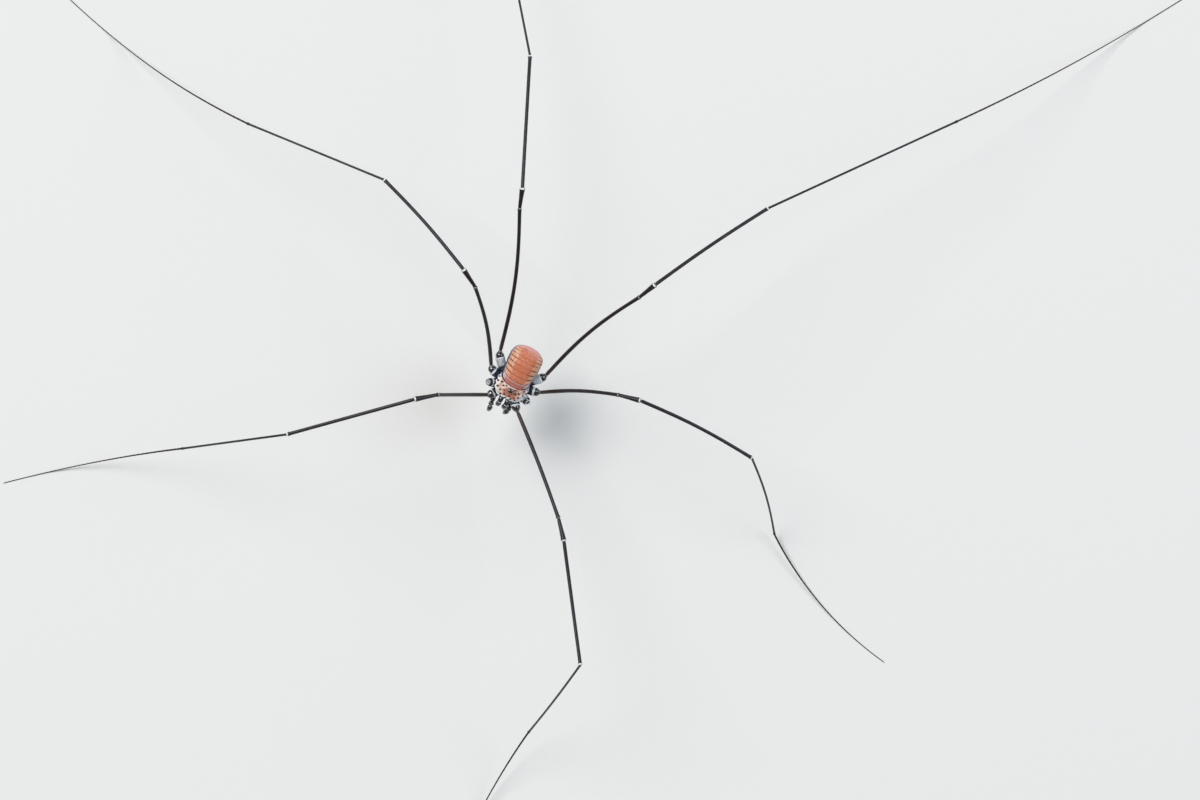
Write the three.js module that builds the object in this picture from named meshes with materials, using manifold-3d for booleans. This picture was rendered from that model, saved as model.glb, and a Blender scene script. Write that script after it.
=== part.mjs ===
// A male harvestman at life size, standing on the floor on six long legs. Its second pair of legs
// has been shed, so each of those hips ends in an open socket.
// Millimetres, +Z up. The head points to -Y and the animal's left side is +X. The origin is on the
// floor, at the middle of the whole animal's outline.
import * as THREE from "three";
import { mergeVertices } from "three/addons/utils/BufferGeometryUtils.js";
import Module from "manifold-3d";

const wasm = await Module();
wasm.setup();

// Driving dimensions of the body.
const BODY_LENGTH = 4.2;
const BODY_WIDTH = 2.4;
const BODY_HEIGHT = 2.1;
const BODY_CENTRE = [-0.1, 0, 6.5];
const BODY_ROLL = THREE.MathUtils.degToRad(8);
const JOINT_GAP = 0.1;
const EYE_GAP = 0.03;

// The body is divided along its length: head shield, two narrow bands, abdomen.
const FRONT_Y = -BODY_LENGTH / 2;
const REAR_Y = BODY_LENGTH / 2;
const ABDOMEN_Y = -0.175 * BODY_LENGTH;
const BAND_WIDTH = 0.13;
const HALF_WIDTH = BODY_WIDTH / 2;
const TOP_Z = 0.48 * BODY_HEIGHT;
const BELLY_Z = -0.52 * BODY_HEIGHT;
const SHIELD_EDGE_Z = -0.02 * BODY_HEIGHT;
const TERGITES = 8;
const GROOVE_DEPTH = 0.05;

// Hips, one for each pair of legs: where the ball of the trochanter sits, and where its coxa starts.
const BALL_RADIUS = 0.31;
const BALL_LENGTH = 0.3;
const COXA_RADIUS = 0.3;
const COXA_DROP = 0.2;
const COXA_CUP_RADIUS = 0.5; // hollow in the end of a coxa, around its ball
const HIP_Z = -0.5;
const HIPS = {
  1: { x: 1.0, y: -2.3, coxaX: 0.35, coxaY: -1.4 },
  2: { x: 1.44, y: -1.55, coxaX: 0.35, coxaY: -1.15 },
  3: { x: 1.76, y: -0.7, coxaX: 0.35, coxaY: -0.95 },
  4: { x: 1.72, y: 0.42, coxaX: 0.5, coxaY: -0.9 },
};

// Legs. Lengths belong to a pair, and angles are in degrees: a heading turns anticlockwise from +X
// seen from above, and a pitch is above the horizon. bow is how far the middle of a segment stands
// off its chord, to the left of its heading and upwards.
const LENGTHS = {
  1: { femur: 8.4, patella: 1.7, tibia: 9.4, metatarsus: 11.5 },
  3: { femur: 7.9, patella: 1.6, tibia: 9.0, metatarsus: 11.0 },
  4: { femur: 10.6, patella: 1.6, tibia: 9.9, metatarsus: 15.5 },
};
const LEGS = [
  {
    name: "left_1", side: 1, pair: 1,
    femur: { heading: -41.3, pitch: 17.9, bow: [0.08, 0.25] },
    patella: { heading: -49.1, pitch: 16.4, bow: [0, 0.03] },
    tibia: { heading: -54.8, pitch: 24.4, bow: [0, 0.15] },
    metatarsus: { heading: -98, pitch: -56, bow: [0.05, 0.3] },
    tarsus: { heading: [-97, -84], length: 14.5 },
  },
  {
    name: "right_1", side: -1, pair: 1,
    femur: { heading: -152.3, pitch: 66.9, bow: [0, 0.3] },
    patella: { heading: -141.3, pitch: 21.0, bow: [0, 0.05] },
    tibia: { heading: -137.3, pitch: -11.5, bow: [0, 0.15] },
    metatarsus: { heading: -145, pitch: -46, bow: [0, 0.3] },
    tarsus: { heading: [-146, -138], length: 14.5 },
  },
  {
    name: "left_3", side: 1, pair: 3,
    femur: { heading: 25.4, pitch: 45.5, bow: [0.2, 0.25] },
    patella: { heading: 12.8, pitch: 18.2, bow: [0, 0.03] },
    tibia: { heading: 0.2, pitch: -13.2, bow: [0.2, 0.15] },
    metatarsus: { heading: -44.0, pitch: -57.8, bow: [0.2, 0.1] },
    tarsus: { heading: [-36, -8], length: 12.2 },
  },
  {
    name: "right_3", side: -1, pair: 3,
    femur: { heading: 128.0, pitch: 45.8, bow: [-0.25, 0.25] },
    patella: { heading: 151.0, pitch: 27.9, bow: [0, 0.03] },
    tibia: { heading: 158.9, pitch: -20.4, bow: [-0.15, 0.15] },
    metatarsus: { heading: -175.3, pitch: -15.1, bow: [0, 0.1] },
    tarsus: { heading: [-179, -196], length: 18 },
  },
  {
    name: "left_4", side: 1, pair: 4,
    femur: { heading: 66.8, pitch: 36.9, bow: [0.36, 0.3] },
    patella: { heading: 65.6, pitch: 33.0, bow: [0, 0.03] },
    tibia: { heading: 61.7, pitch: -15.5, bow: [0.1, 0.15] },
    metatarsus: { heading: 52.4, pitch: -16, bow: [0, 0.2] },
    tarsus: { heading: [52.5, 60], length: 21 },
  },
  {
    name: "right_4", side: -1, pair: 4,
    femur: { heading: 109.3, pitch: 19.2, bow: [-0.38, 0.3] },
    patella: { heading: 109.0, pitch: 28.0, bow: [0, 0.03] },
    tibia: { heading: 114.4, pitch: -18.2, bow: [0, 0.15] },
    metatarsus: { heading: 128.5, pitch: -9, bow: [0, 0.2] },
    tarsus: { heading: [129, 140], length: 21 },
  },
];

// Half thicknesses of the leg segments, from root to end. The real ones are about half of these.
const SEGMENT_RADII = {
  femur: [0.25, 0.27, 0.26, 0.25, 0.29],
  patella: [0.26, 0.3, 0.33],
  tibia: [0.28, 0.28, 0.26, 0.25, 0.28],
  metatarsus: [0.25, 0.25, 0.25, 0.25],
};
const SEGMENT_RINGS = { femur: 9, patella: 4, tibia: 8, metatarsus: 7 };
const SEGMENT_SIDES = 8;
const TARSUS_RADIUS = 0.25;
const TARSUS_TIP_RADIUS = 0.13;
const TARSUS_RINGS = 15;
const FLAT_SHARE = 0.16; // share of a tarsus that lies along the floor
const FOOT_LIFT = 0.8; // height of a lying tarsus's middle, as a share of its radius

const MATERIALS = {
  shield: { color: 0xe3c4b4, roughness: 0.6 },
  abdomen: { color: 0xc9673f, roughness: 0.6 },
  black: { color: 0x0d0d12, roughness: 0.22 },
  leg: { color: 0x1b1417, roughness: 0.4 },
  tarsus: { color: 0x3a3f4c, roughness: 0.5 },
  jaw: { color: 0x1c1c22, roughness: 0.35 },
};
const materials = Object.fromEntries(
  Object.entries(MATERIALS).map(([name, look]) => [
    name,
    new THREE.MeshStandardMaterial({ name, metalness: 0, ...look }),
  ]),
);

const deg = THREE.MathUtils.degToRad;
const vec = (x, y, z) => new THREE.Vector3(x, y, z);

// A value between the entries of a list, at share t of its length.
function along(list, t) {
  const place = t * (list.length - 1);
  const at = Math.min(Math.floor(place), list.length - 2);
  return THREE.MathUtils.lerp(list[at], list[at + 1], place - at);
}

function direction(heading, pitch) {
  const flat = Math.cos(deg(pitch));
  return vec(
    flat * Math.cos(deg(heading)),
    flat * Math.sin(deg(heading)),
    Math.sin(deg(pitch)),
  );
}

// Closed geometry from rings of points that follow one another, with a fan over each end.
function skinOf(rings) {
  const sides = rings[0].length;
  const positions = rings.flat().flatMap((p) => [p.x, p.y, p.z]);
  const middle = (ring) =>
    ring.reduce((sum, p) => sum.add(p), vec(0, 0, 0)).divideScalar(sides);
  const first = rings.length * sides;
  for (const ring of [rings[0], rings.at(-1)])
    positions.push(...middle(ring).toArray());
  const index = [];
  for (let r = 0; r < rings.length - 1; r++)
    for (let s = 0; s < sides; s++) {
      const [a, b] = [r * sides + s, r * sides + ((s + 1) % sides)];
      index.push(a, b, a + sides, b, b + sides, a + sides);
    }
  const last = (rings.length - 1) * sides;
  for (let s = 0; s < sides; s++) {
    const next = (s + 1) % sides;
    index.push(first, next, s, first + 1, last + s, last + next);
  }
  return new THREE.BufferGeometry()
    .setAttribute("position", new THREE.Float32BufferAttribute(positions, 3))
    .setIndex(index);
}

// A round limb along points. Its end rings lie in the given planes, which face along the limb.
function limb(points, radii, sides, startPlane, endPlane, floor) {
  const tangents = points.map((p, i) =>
    points[Math.min(i + 1, points.length - 1)]
      .clone()
      .sub(points[Math.max(i - 1, 0)])
      .normalize(),
  );
  let side = vec(0, 0, 1).cross(tangents[0]);
  if (side.length() < 0.1) side = vec(1, 0, 0).cross(tangents[0]);
  const rings = points.map((p, i) => {
    side.addScaledVector(tangents[i], -side.dot(tangents[i])).normalize();
    const up = tangents[i].clone().cross(side);
    const plane = i === 0 ? startPlane : i === points.length - 1 ? endPlane : null;
    return Array.from({ length: sides }, (_, s) => {
      const angle = (2 * Math.PI * (s + 0.5)) / sides;
      const q = p
        .clone()
        .addScaledVector(side, radii[i] * Math.cos(angle))
        .addScaledVector(up, radii[i] * Math.sin(angle));
      if (plane)
        q.addScaledVector(
          tangents[i],
          -plane.distanceToPoint(q) / plane.normal.dot(tangents[i]),
        );
      if (floor !== undefined) q.z = Math.max(q.z, floor);
      return q;
    });
  });
  return skinOf(rings);
}

// Solids for joining and cutting.
function solidOf(geometry) {
  const bare = geometry.clone();
  bare.deleteAttribute("normal");
  bare.deleteAttribute("uv");
  const merged = mergeVertices(bare, 1e-5);
  return new wasm.Manifold(
    new wasm.Mesh({
      numProp: 3,
      vertProperties: merged.attributes.position.array,
      triVerts: new Uint32Array(merged.index.array),
    }),
  );
}

// The largest closed surface of a solid, as geometry.
function geometryOf(solid) {
  const largest = solid
    .decompose()
    .reduce((a, b) => (b.volume() > a.volume() ? b : a));
  const mesh = largest.getMesh();
  return new THREE.BufferGeometry()
    .setAttribute(
      "position",
      new THREE.BufferAttribute(new Float32Array(mesh.vertProperties), 3),
    )
    .setIndex(new THREE.BufferAttribute(new Uint32Array(mesh.triVerts), 1));
}

function piece(name, geometry, material) {
  geometry.computeVertexNormals();
  const mesh = new THREE.Mesh(geometry, materials[material]);
  mesh.name = name;
  return mesh;
}

function ball(centre, radius, across = 12) {
  return new THREE.SphereGeometry(radius, across, across / 2).translate(
    ...centre.toArray(),
  );
}

// Body sections lie across the length, one for each y. section(y, angle) gives x and z.
function sectionSkin(ys, sides, section) {
  return skinOf(
    ys.map((y) =>
      Array.from({ length: sides }, (_, s) => {
        const { x, z } = section(y, (-2 * Math.PI * (s + 0.5)) / sides);
        return vec(x, y, z);
      }),
    ),
  );
}

const bulge = (t, power) => Math.pow(Math.max(0, 1 - Math.abs(t) ** power), 1 / power);

// Abdomen: a barrel with a blunt end, ringed by its back plates, with a furrow along each flank.
const ABDOMEN_SIDES = 28;
const FLANK_ANGLE = -0.3;
const FLANK_WIDTH = 0.22;

function abdomenSection(y, angle, grow) {
  const length = REAR_Y - ABDOMEN_Y;
  const share = (y - ABDOMEN_Y) / length;
  const round = bulge(Math.max(0, (share - 0.3) / 0.7), 3.2);
  const swell = 0.9 + 0.1 * Math.sin(Math.min(share / 0.45, 1) * (Math.PI / 2));
  const [across, rise] = [Math.cos(angle), Math.sin(angle)];
  const groove = plateGroove(share) * Math.max(0, rise + 0.2);
  const flank = Math.exp(
    -(((Math.asin(rise) - FLANK_ANGLE) / FLANK_WIDTH) ** 2),
  );
  const size = round * swell - groove - 0.05 * flank * round;
  const half = rise > 0 ? TOP_Z : -BELLY_Z * (0.94 - 0.1 * share);
  return {
    x: (HALF_WIDTH * size + grow) * Math.sign(across) * Math.abs(across) ** 0.85,
    z: (half * size + grow) * rise,
  };
}

// Depth of the grooves between back plates: steep at the rear edge of each plate.
function plateGroove(share) {
  const place = (share * TERGITES) % 1;
  return share > 0.99 ? 0 : GROOVE_DEPTH * Math.exp(-Math.min(place, 3 * (1 - place)) * 9);
}

function abdomenRings(grow) {
  const length = REAR_Y - ABDOMEN_Y;
  const shares = [0];
  for (let plate = 0; plate < TERGITES; plate++)
    for (const step of [0.25, 0.62, 0.93, 1])
      if (!(plate === TERGITES - 1 && step === 1))
        shares.push((plate + step) / TERGITES);
  const ys = shares.map((share) => ABDOMEN_Y + share * length);
  ys[0] -= grow;
  ys.push(REAR_Y - 0.004 * length + grow);
  return ys;
}

function abdomenForm(grow = 0) {
  return sectionSkin(abdomenRings(grow), ABDOMEN_SIDES, (y, angle) =>
    abdomenSection(Math.min(Math.max(y, ABDOMEN_Y), REAR_Y - 0.012), angle, grow),
  );
}

// Head shield: a domed plate with a scalloped edge, and the two bands behind it. It overhangs the
// narrower body below.
const SHIELD_SIDES = 28;
const SHIELD_REAR_Y = ABDOMEN_Y - JOINT_GAP;
const SHIELD_LENGTH = SHIELD_REAR_Y - FRONT_Y;
const SHIELD_THICKNESS = 0.3;
const UNDER_INSET = 0.16;

function shieldHalfWidth(y) {
  const share = (SHIELD_REAR_Y - y) / SHIELD_LENGTH;
  const scallop = 0.035 * Math.sin(share * Math.PI * 5);
  return HALF_WIDTH * 0.98 * bulge(share * 0.985, 2.8) + scallop * (1 - share);
}

// The shield's ridge line: low in front, and rising over the bands to the abdomen.
function shieldTop(y) {
  const share = (SHIELD_REAR_Y - y) / SHIELD_LENGTH;
  const behind = (SHIELD_REAR_Y - y) / BAND_WIDTH;
  const band = behind < 2 ? 0.07 * Math.abs(Math.sin(behind * Math.PI)) : 0;
  return TOP_Z * (0.42 + 0.42 * (1 - share) ** 1.3) * bulge(share * 0.9, 3) + band;
}

function shieldForm(grow = 0) {
  const ys = [0, 0.35, 0.65, 1, 1.35, 1.65, 2].map((n) => SHIELD_REAR_Y - n * BAND_WIDTH);
  const rest = ys.at(-1) - FRONT_Y;
  for (const share of [0.12, 0.26, 0.4, 0.54, 0.68, 0.8, 0.9, 0.96, 1])
    ys.push(ys[6] - share * rest);
  ys[0] += Math.min(grow, JOINT_GAP / 2);
  ys[ys.length - 1] -= grow;
  return sectionSkin(ys.reverse(), SHIELD_SIDES, (y, angle) => {
    const inside = Math.min(Math.max(y, FRONT_Y + 0.01), SHIELD_REAR_Y);
    const rise = Math.sin(angle);
    return {
      x: (shieldHalfWidth(inside) + grow) * Math.cos(angle),
      z: SHIELD_EDGE_Z + rise * ((rise > 0 ? shieldTop(inside) : SHIELD_THICKNESS) + grow),
    };
  });
}

// The soft body below the shield, out to the mouth.
function underForm() {
  const ys = [0, 0.15, 0.35, 0.55, 0.75, 0.88, 0.96].map(
    (share) => SHIELD_REAR_Y - share * SHIELD_LENGTH,
  );
  return sectionSkin(ys.reverse(), 18, (y, angle) => {
    const share = (SHIELD_REAR_Y - y) / SHIELD_LENGTH;
    const rise = Math.sin(angle);
    return {
      x: Math.max(shieldHalfWidth(y) - UNDER_INSET, 0.2) * Math.cos(angle),
      z: SHIELD_EDGE_Z + rise * (rise > 0 ? 0.3 : -BELLY_Z * (0.95 - 0.35 * share ** 3)),
    };
  });
}

// The middle of a hip's ball, and the point on the underside that its coxa starts from.
const hipBall = (side, pair) => vec(side * HIPS[pair].x, HIPS[pair].y, HIP_Z);
const coxaRoot = (side, pair) =>
  vec(side * HIPS[pair].coxaX, HIPS[pair].coxaY, HIP_Z - COXA_DROP);

function coxaForm(side, pair, grow = 0) {
  const [root, end] = [coxaRoot(side, pair), hipBall(side, pair)];
  const sizes = [0.3, 0.9, 1.05, 1.12, 1.1, 1, 0.9];
  return limb(
    sizes.map((_, i) => root.clone().lerp(end, i / (sizes.length - 1))),
    sizes.map((size) => size * COXA_RADIUS + grow),
    10,
  );
}

// Where a leg's femur joins the ball of its hip, in the frame of the body.
function femurRoot(side, pair, heading, pitch) {
  return hipBall(side, pair).add(direction(heading, pitch * 0.6).multiplyScalar(0.36));
}

// The ball of a hip: a short barrel from its coxa to its femur. A shed leg leaves it open.
function trochanterForm(side, pair, end, endPlane, grow = 0) {
  const middle = hipBall(side, pair);
  const inwards = coxaRoot(side, pair).sub(middle).setLength(BALL_LENGTH + grow);
  const start = middle.clone().add(inwards);
  const route = new THREE.QuadraticBezierCurve3(start, middle, end);
  const sizes = [0.72, 0.93, 1, 0.97, 0.86, 0.66];
  return limb(
    route.getPoints(sizes.length - 1),
    sizes.map((size) => size * BALL_RADIUS + grow),
    12,
    undefined,
    endPlane,
  );
}

// The plane between two limbs that meet at a joint, moved along them by shift.
function jointPlane(joint, before, after, shift) {
  const normal = before.clone().add(after).normalize();
  return new THREE.Plane().setFromNormalAndCoplanarPoint(
    normal,
    joint.clone().addScaledVector(normal, shift),
  );
}

// Jaws and feelers, as points from root to tip in the frame of the body, for the left side. The
// feeler on the left is drawn in closer than the one on the right.
const JAW_RADIUS = 0.2;
const JAW_SIZES = [0.8, 1, 1, 1, 0.95, 0.75, 0.35];
const JAW = [
  vec(0.24, -1.98, -0.3),
  vec(0.25, -2.42, -0.26),
  vec(0.23, -2.62, -0.55),
  vec(0.2, -2.6, -1.05),
];
const FEELER_RADIUS = 0.22;
const FEELER_REACH = { left: 0.86, right: 1 };
const FEELER = {
  femur: [vec(0.62, -1.9, -1.0), vec(0.66, -2.6, -0.95)],
  tibia: [vec(0.66, -2.6, -0.95), vec(0.58, -3.1, -0.85)],
  tarsus: [vec(0.58, -3.1, -0.85), vec(0.54, -3.18, -1.35), vec(0.5, -3.0, -1.9)],
};
const FEELER_SIZES = {
  femur: [0.8, 1, 1, 1, 0.95],
  tibia: [1, 1.1, 1],
  tarsus: [0.95, 0.95, 0.8, 0.35],
};
const FEELER_SEGMENTS = Object.keys(FEELER);

function jawForm(side, grow = 0) {
  const curve = new THREE.CatmullRomCurve3(JAW.map((p) => vec(p.x * side, p.y, p.z)));
  const points = curve.getPoints(JAW_SIZES.length - 1);
  return limb(points, JAW_SIZES.map((size) => size * JAW_RADIUS + grow), 10);
}

function feelerPoints(sideName, segment) {
  const [side, reach] = [sideName === "left" ? 1 : -1, FEELER_REACH[sideName]];
  const rootY = FEELER.femur[0].y;
  return FEELER[segment].map((p) => vec(p.x * side, rootY + (p.y - rootY) * reach, p.z));
}

function feelerForm(sideName, segment, grow = 0) {
  const points = feelerPoints(sideName, segment);
  const at = FEELER_SEGMENTS.indexOf(segment);
  const [before, after] = [at - 1, at + 1].map(
    (other) => FEELER_SEGMENTS[other] && feelerPoints(sideName, FEELER_SEGMENTS[other]),
  );
  const heading = (from, to) => to.clone().sub(from).normalize();
  const startPlane =
    before &&
    jointPlane(points[0], heading(...before.slice(-2)), heading(...points), JOINT_GAP / 2);
  const endPlane =
    after &&
    jointPlane(points.at(-1), heading(...points.slice(-2)), heading(...after), -JOINT_GAP / 2);
  return limb(
    new THREE.CatmullRomCurve3(points).getPoints(FEELER_SIZES[segment].length - 1),
    FEELER_SIZES[segment].map((size) => size * FEELER_RADIUS + grow),
    8,
    startPlane,
    endPlane,
  );
}

// Eye mound, with an eye set into each side of it.
const EYE_Y = -1.44;
const EYE_RADIUS = 0.11;
const EYE_SPREAD = 0.135;
const MOUND_RADIUS = 0.195;
const MOUND_HEIGHT = 0.29;
const moundFoot = vec(0, EYE_Y, SHIELD_EDGE_Z + shieldTop(EYE_Y) - 0.05);
const eyeCentre = (side) =>
  moundFoot.clone().add(vec(side * EYE_SPREAD, -0.02, 0.62 * MOUND_HEIGHT));

function moundSolid(shieldGrown) {
  const steps = [-0.6, 0.1, 0.35, 0.6, 0.8, 0.95, 1];
  const sizes = [0.95, 1, 1.02, 0.97, 0.82, 0.55, 0.25];
  const form = limb(
    steps.map((step) => moundFoot.clone().add(vec(0, 0, step * MOUND_HEIGHT))),
    sizes.map((size) => size * MOUND_RADIUS),
    16,
  );
  const seats = [1, -1].map((side) => solidOf(ball(eyeCentre(side), EYE_RADIUS + EYE_GAP, 16)));
  return seats.reduce((solid, seat) => solid.subtract(seat), solidOf(form).subtract(shieldGrown));
}

// Body group: everything that tilts with the body.
const body = new THREE.Group();
body.rotation.y = BODY_ROLL;
body.position.set(...BODY_CENTRE);
body.updateMatrixWorld(true);
const toBody = body.matrixWorld.clone().invert();

const hipEnds = {};
for (const leg of LEGS) {
  const { heading, pitch } = leg.femur;
  const outwards = direction(heading, pitch).transformDirection(toBody);
  const root = femurRoot(leg.side, leg.pair, heading, pitch);
  const ballAxis = root.clone().sub(hipBall(leg.side, leg.pair)).normalize();
  hipEnds[leg.name] = {
    root,
    ballPlane: jointPlane(root, ballAxis, outwards, -JOINT_GAP / 2),
    legPlane: jointPlane(root, ballAxis, outwards, JOINT_GAP / 2),
  };
}

// A shed leg's socket opens outwards and upwards.
const SOCKET_RADIUS = 0.17;
for (const side of [1, -1]) {
  const outwards = vec(side * 0.62, -0.25, 0.74).normalize();
  const root = hipBall(side, 2).addScaledVector(outwards, 0.3);
  hipEnds[side > 0 ? "left_2" : "right_2"] = {
    root,
    ballPlane: new THREE.Plane().setFromNormalAndCoplanarPoint(outwards, root),
  };
}

function trochanterSolid(name, grow = 0) {
  const [sideName, pair] = name.split("_");
  const side = sideName === "left" ? 1 : -1;
  const { root, ballPlane } = hipEnds[name];
  const form = solidOf(trochanterForm(side, Number(pair), root, ballPlane, grow));
  return pair === "2" && !grow ? form.subtract(solidOf(ball(root, SOCKET_RADIUS))) : form;
}

const SIDES = [["left", 1], ["right", -1]];

// Each solid cut back from the ones around it.
const cutBack = (solid, others) => others.reduce((rest, other) => rest.subtract(other), solid);

function frontBodySolid() {
  const whole = solidOf(shieldForm()).add(solidOf(underForm()));
  const trunk = cutBack(whole, [solidOf(abdomenForm(JOINT_GAP))]);
  const cuts = Object.keys(hipEnds).map((name) => trochanterSolid(name, JOINT_GAP));
  const coxae = [];
  for (const [sideName, side] of SIDES) {
    for (const pair of Object.keys(HIPS)) {
      coxae.push(solidOf(coxaForm(side, pair)));
      cuts.push(solidOf(ball(hipBall(side, pair), COXA_CUP_RADIUS, 16)));
    }
    cuts.push(solidOf(jawForm(side, JOINT_GAP)));
    cuts.push(solidOf(feelerForm(sideName, "femur", JOINT_GAP)));
  }
  return cutBack(coxae.reduce((whole, coxa) => whole.add(coxa), trunk), cuts);
}

// The last pair of coxae lie in a hollow along each side of the abdomen.
function abdomenSolid() {
  const cuts = SIDES.flatMap(([sideName, side]) => [
    solidOf(coxaForm(side, 4, JOINT_GAP)),
    trochanterSolid(`${sideName}_4`, JOINT_GAP),
  ]);
  return cutBack(solidOf(abdomenForm()), cuts);
}

body.add(
  piece("front_body", geometryOf(frontBodySolid()), "shield"),
  piece("abdomen", geometryOf(abdomenSolid()), "abdomen"),
  piece("eye_mound", geometryOf(moundSolid(solidOf(shieldForm(EYE_GAP)))), "black"),
);
for (const [sideName, side] of SIDES) {
  body.add(piece(`eye_${sideName}`, ball(eyeCentre(side), EYE_RADIUS), "black"));
  body.add(piece(`chelicera_${sideName}`, jawForm(side), "jaw"));
  for (const segment of FEELER_SEGMENTS)
    body.add(piece(`pedipalp_${sideName}_${segment}`, feelerForm(sideName, segment), "jaw"));
}
for (const name of Object.keys(hipEnds))
  body.add(piece(`trochanter_${name}`, geometryOf(trochanterSolid(name)), "black"));

// A segment's middle line, bowed sideways and upwards off its chord.
function bowedLine(start, end, heading, bow, rings) {
  const sideways = direction(heading + 90, 0);
  return Array.from({ length: rings }, (_, i) => {
    const t = i / (rings - 1);
    const off = Math.sin(Math.PI * t);
    return start
      .clone()
      .lerp(end, t)
      .addScaledVector(sideways, bow[0] * off)
      .add(vec(0, 0, bow[1] * off));
  });
}

// A tarsus turns from one heading to another as it sinks to the floor, and lies flat at its end.
function tarsusLine(start, pitch, { heading, length }) {
  const steps = TARSUS_RINGS - 1;
  const reach = length * (1 - FLAT_SHARE);
  const drop = start.z - FOOT_LIFT * TARSUS_RADIUS;
  const slope = Math.max(Math.sin(deg(pitch)) * reach, -2.4 * drop);
  const heightAt = (t) => {
    const u = Math.min(t / (1 - FLAT_SHARE), 1);
    return drop * (2 * u ** 3 - 3 * u ** 2 + 1) + slope * (u ** 3 - 2 * u ** 2 + u);
  };
  const lift = (t) => FOOT_LIFT * (tarsusRadius(t) - TARSUS_RADIUS) * t;
  const points = [start.clone()];
  for (let i = 1; i <= steps; i++) {
    const t = i / steps;
    const fall = heightAt(t) + lift(t) - heightAt(t - 1 / steps) - lift(t - 1 / steps);
    const turn = THREE.MathUtils.lerp(heading[0], heading[1], t - 0.5 / steps);
    const flat = Math.sqrt(Math.max((length / steps) ** 2 - fall ** 2, 0));
    points.push(points.at(-1).clone().addScaledVector(direction(turn, 0), flat).add(vec(0, 0, fall)));
  }
  return points;
}

const tarsusRadius = (t) =>
  THREE.MathUtils.lerp(TARSUS_RADIUS, TARSUS_TIP_RADIUS, THREE.MathUtils.smoothstep(t, 0.45, 1));

// One leg, from its femur to the tip of its tarsus.
function legGroup(leg) {
  const names = ["femur", "patella", "tibia", "metatarsus"];
  const hip = hipEnds[leg.name];
  const root = hip.root.clone().applyMatrix4(body.matrixWorld);
  const startPlane = hip.legPlane.clone().applyMatrix4(body.matrixWorld);
  let joint = root;
  const lines = names.map((name) => {
    const { heading, pitch, bow } = leg[name];
    const end = joint.clone().addScaledVector(direction(heading, pitch), LENGTHS[leg.pair][name]);
    const line = bowedLine(joint, end, heading, bow, SEGMENT_RINGS[name]);
    joint = end;
    return line;
  });
  lines.push(tarsusLine(joint, leg.metatarsus.pitch, leg.tarsus));
  const group = new THREE.Group();
  const endTangent = (line) => line.at(-1).clone().sub(line.at(-2)).normalize();
  const startTangent = (line) => line[1].clone().sub(line[0]).normalize();
  let plane = startPlane;
  lines.forEach((line, i) => {
    const name = names[i] ?? "tarsus";
    const next = lines[i + 1];
    const [before, after] = [endTangent(line), next && startTangent(next)];
    const endPlane = next && jointPlane(line.at(-1), before, after, -JOINT_GAP / 2);
    const radii = line.map((_, at) => {
      const t = at / (line.length - 1);
      return name === "tarsus" ? tarsusRadius(t) : along(SEGMENT_RADII[name], t);
    });
    const floor = name === "tarsus" ? 0 : undefined;
    const geometry = limb(line, radii, SEGMENT_SIDES, plane, endPlane, floor);
    group.add(piece(`${name}_${leg.name}`, geometry, name === "tarsus" ? "tarsus" : "leg"));
    plane = next && jointPlane(line.at(-1), before, after, JOINT_GAP / 2);
  });
  return group;
}

const harvestman = new THREE.Group();
harvestman.name = "harvestman";
harvestman.add(body, ...LEGS.map(legGroup));

// The origin goes to the middle of the outline on the floor.
const middle = new THREE.Box3().setFromObject(harvestman, true).getCenter(vec(0, 0, 0));
harvestman.position.set(-middle.x, -middle.y, 0);

export default harvestman;
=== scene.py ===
# A male harvestman at life size: a small plated body on six long legs, its second pair of legs
# shed. Settings are in metres. The shapes are worked out in millimetres, in the frame of the body
# or of the whole animal, and laid over the solids in metres.

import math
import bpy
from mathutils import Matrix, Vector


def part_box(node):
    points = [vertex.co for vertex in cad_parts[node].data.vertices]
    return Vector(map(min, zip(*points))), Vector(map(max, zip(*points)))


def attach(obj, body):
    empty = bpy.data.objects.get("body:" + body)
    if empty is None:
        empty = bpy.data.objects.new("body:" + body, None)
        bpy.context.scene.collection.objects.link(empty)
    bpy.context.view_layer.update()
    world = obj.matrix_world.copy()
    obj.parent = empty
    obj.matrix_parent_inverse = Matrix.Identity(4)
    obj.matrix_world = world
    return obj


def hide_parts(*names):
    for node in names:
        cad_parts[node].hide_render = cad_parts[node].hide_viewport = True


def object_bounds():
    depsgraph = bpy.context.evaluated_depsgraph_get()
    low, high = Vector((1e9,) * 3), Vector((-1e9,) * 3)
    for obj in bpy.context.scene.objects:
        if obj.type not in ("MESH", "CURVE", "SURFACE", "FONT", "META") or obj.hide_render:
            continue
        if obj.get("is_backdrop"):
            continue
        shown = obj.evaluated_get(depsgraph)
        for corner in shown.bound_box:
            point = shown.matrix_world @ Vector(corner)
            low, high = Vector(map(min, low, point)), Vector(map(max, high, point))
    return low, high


bl_info = {
    "name": "Harvestman",
    "version": (1, 0, 0),
    "blender": (4, 5, 0),
    "location": "View3D > Sidebar > Harvestman",
    "description": "Builds a still, life-size harvestman around its solids",
    "category": "Add Mesh",
}

import bpy
from bpy.props import FloatProperty, FloatVectorProperty, IntProperty, PointerProperty
from mathutils import Matrix, Quaternion, Vector, noise

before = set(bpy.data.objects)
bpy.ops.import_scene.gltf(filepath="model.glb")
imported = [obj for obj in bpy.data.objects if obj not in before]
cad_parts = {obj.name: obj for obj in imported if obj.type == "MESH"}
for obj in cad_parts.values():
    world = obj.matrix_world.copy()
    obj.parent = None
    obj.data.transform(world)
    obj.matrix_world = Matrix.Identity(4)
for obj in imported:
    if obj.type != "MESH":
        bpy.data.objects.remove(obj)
CAD_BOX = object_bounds()

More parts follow.
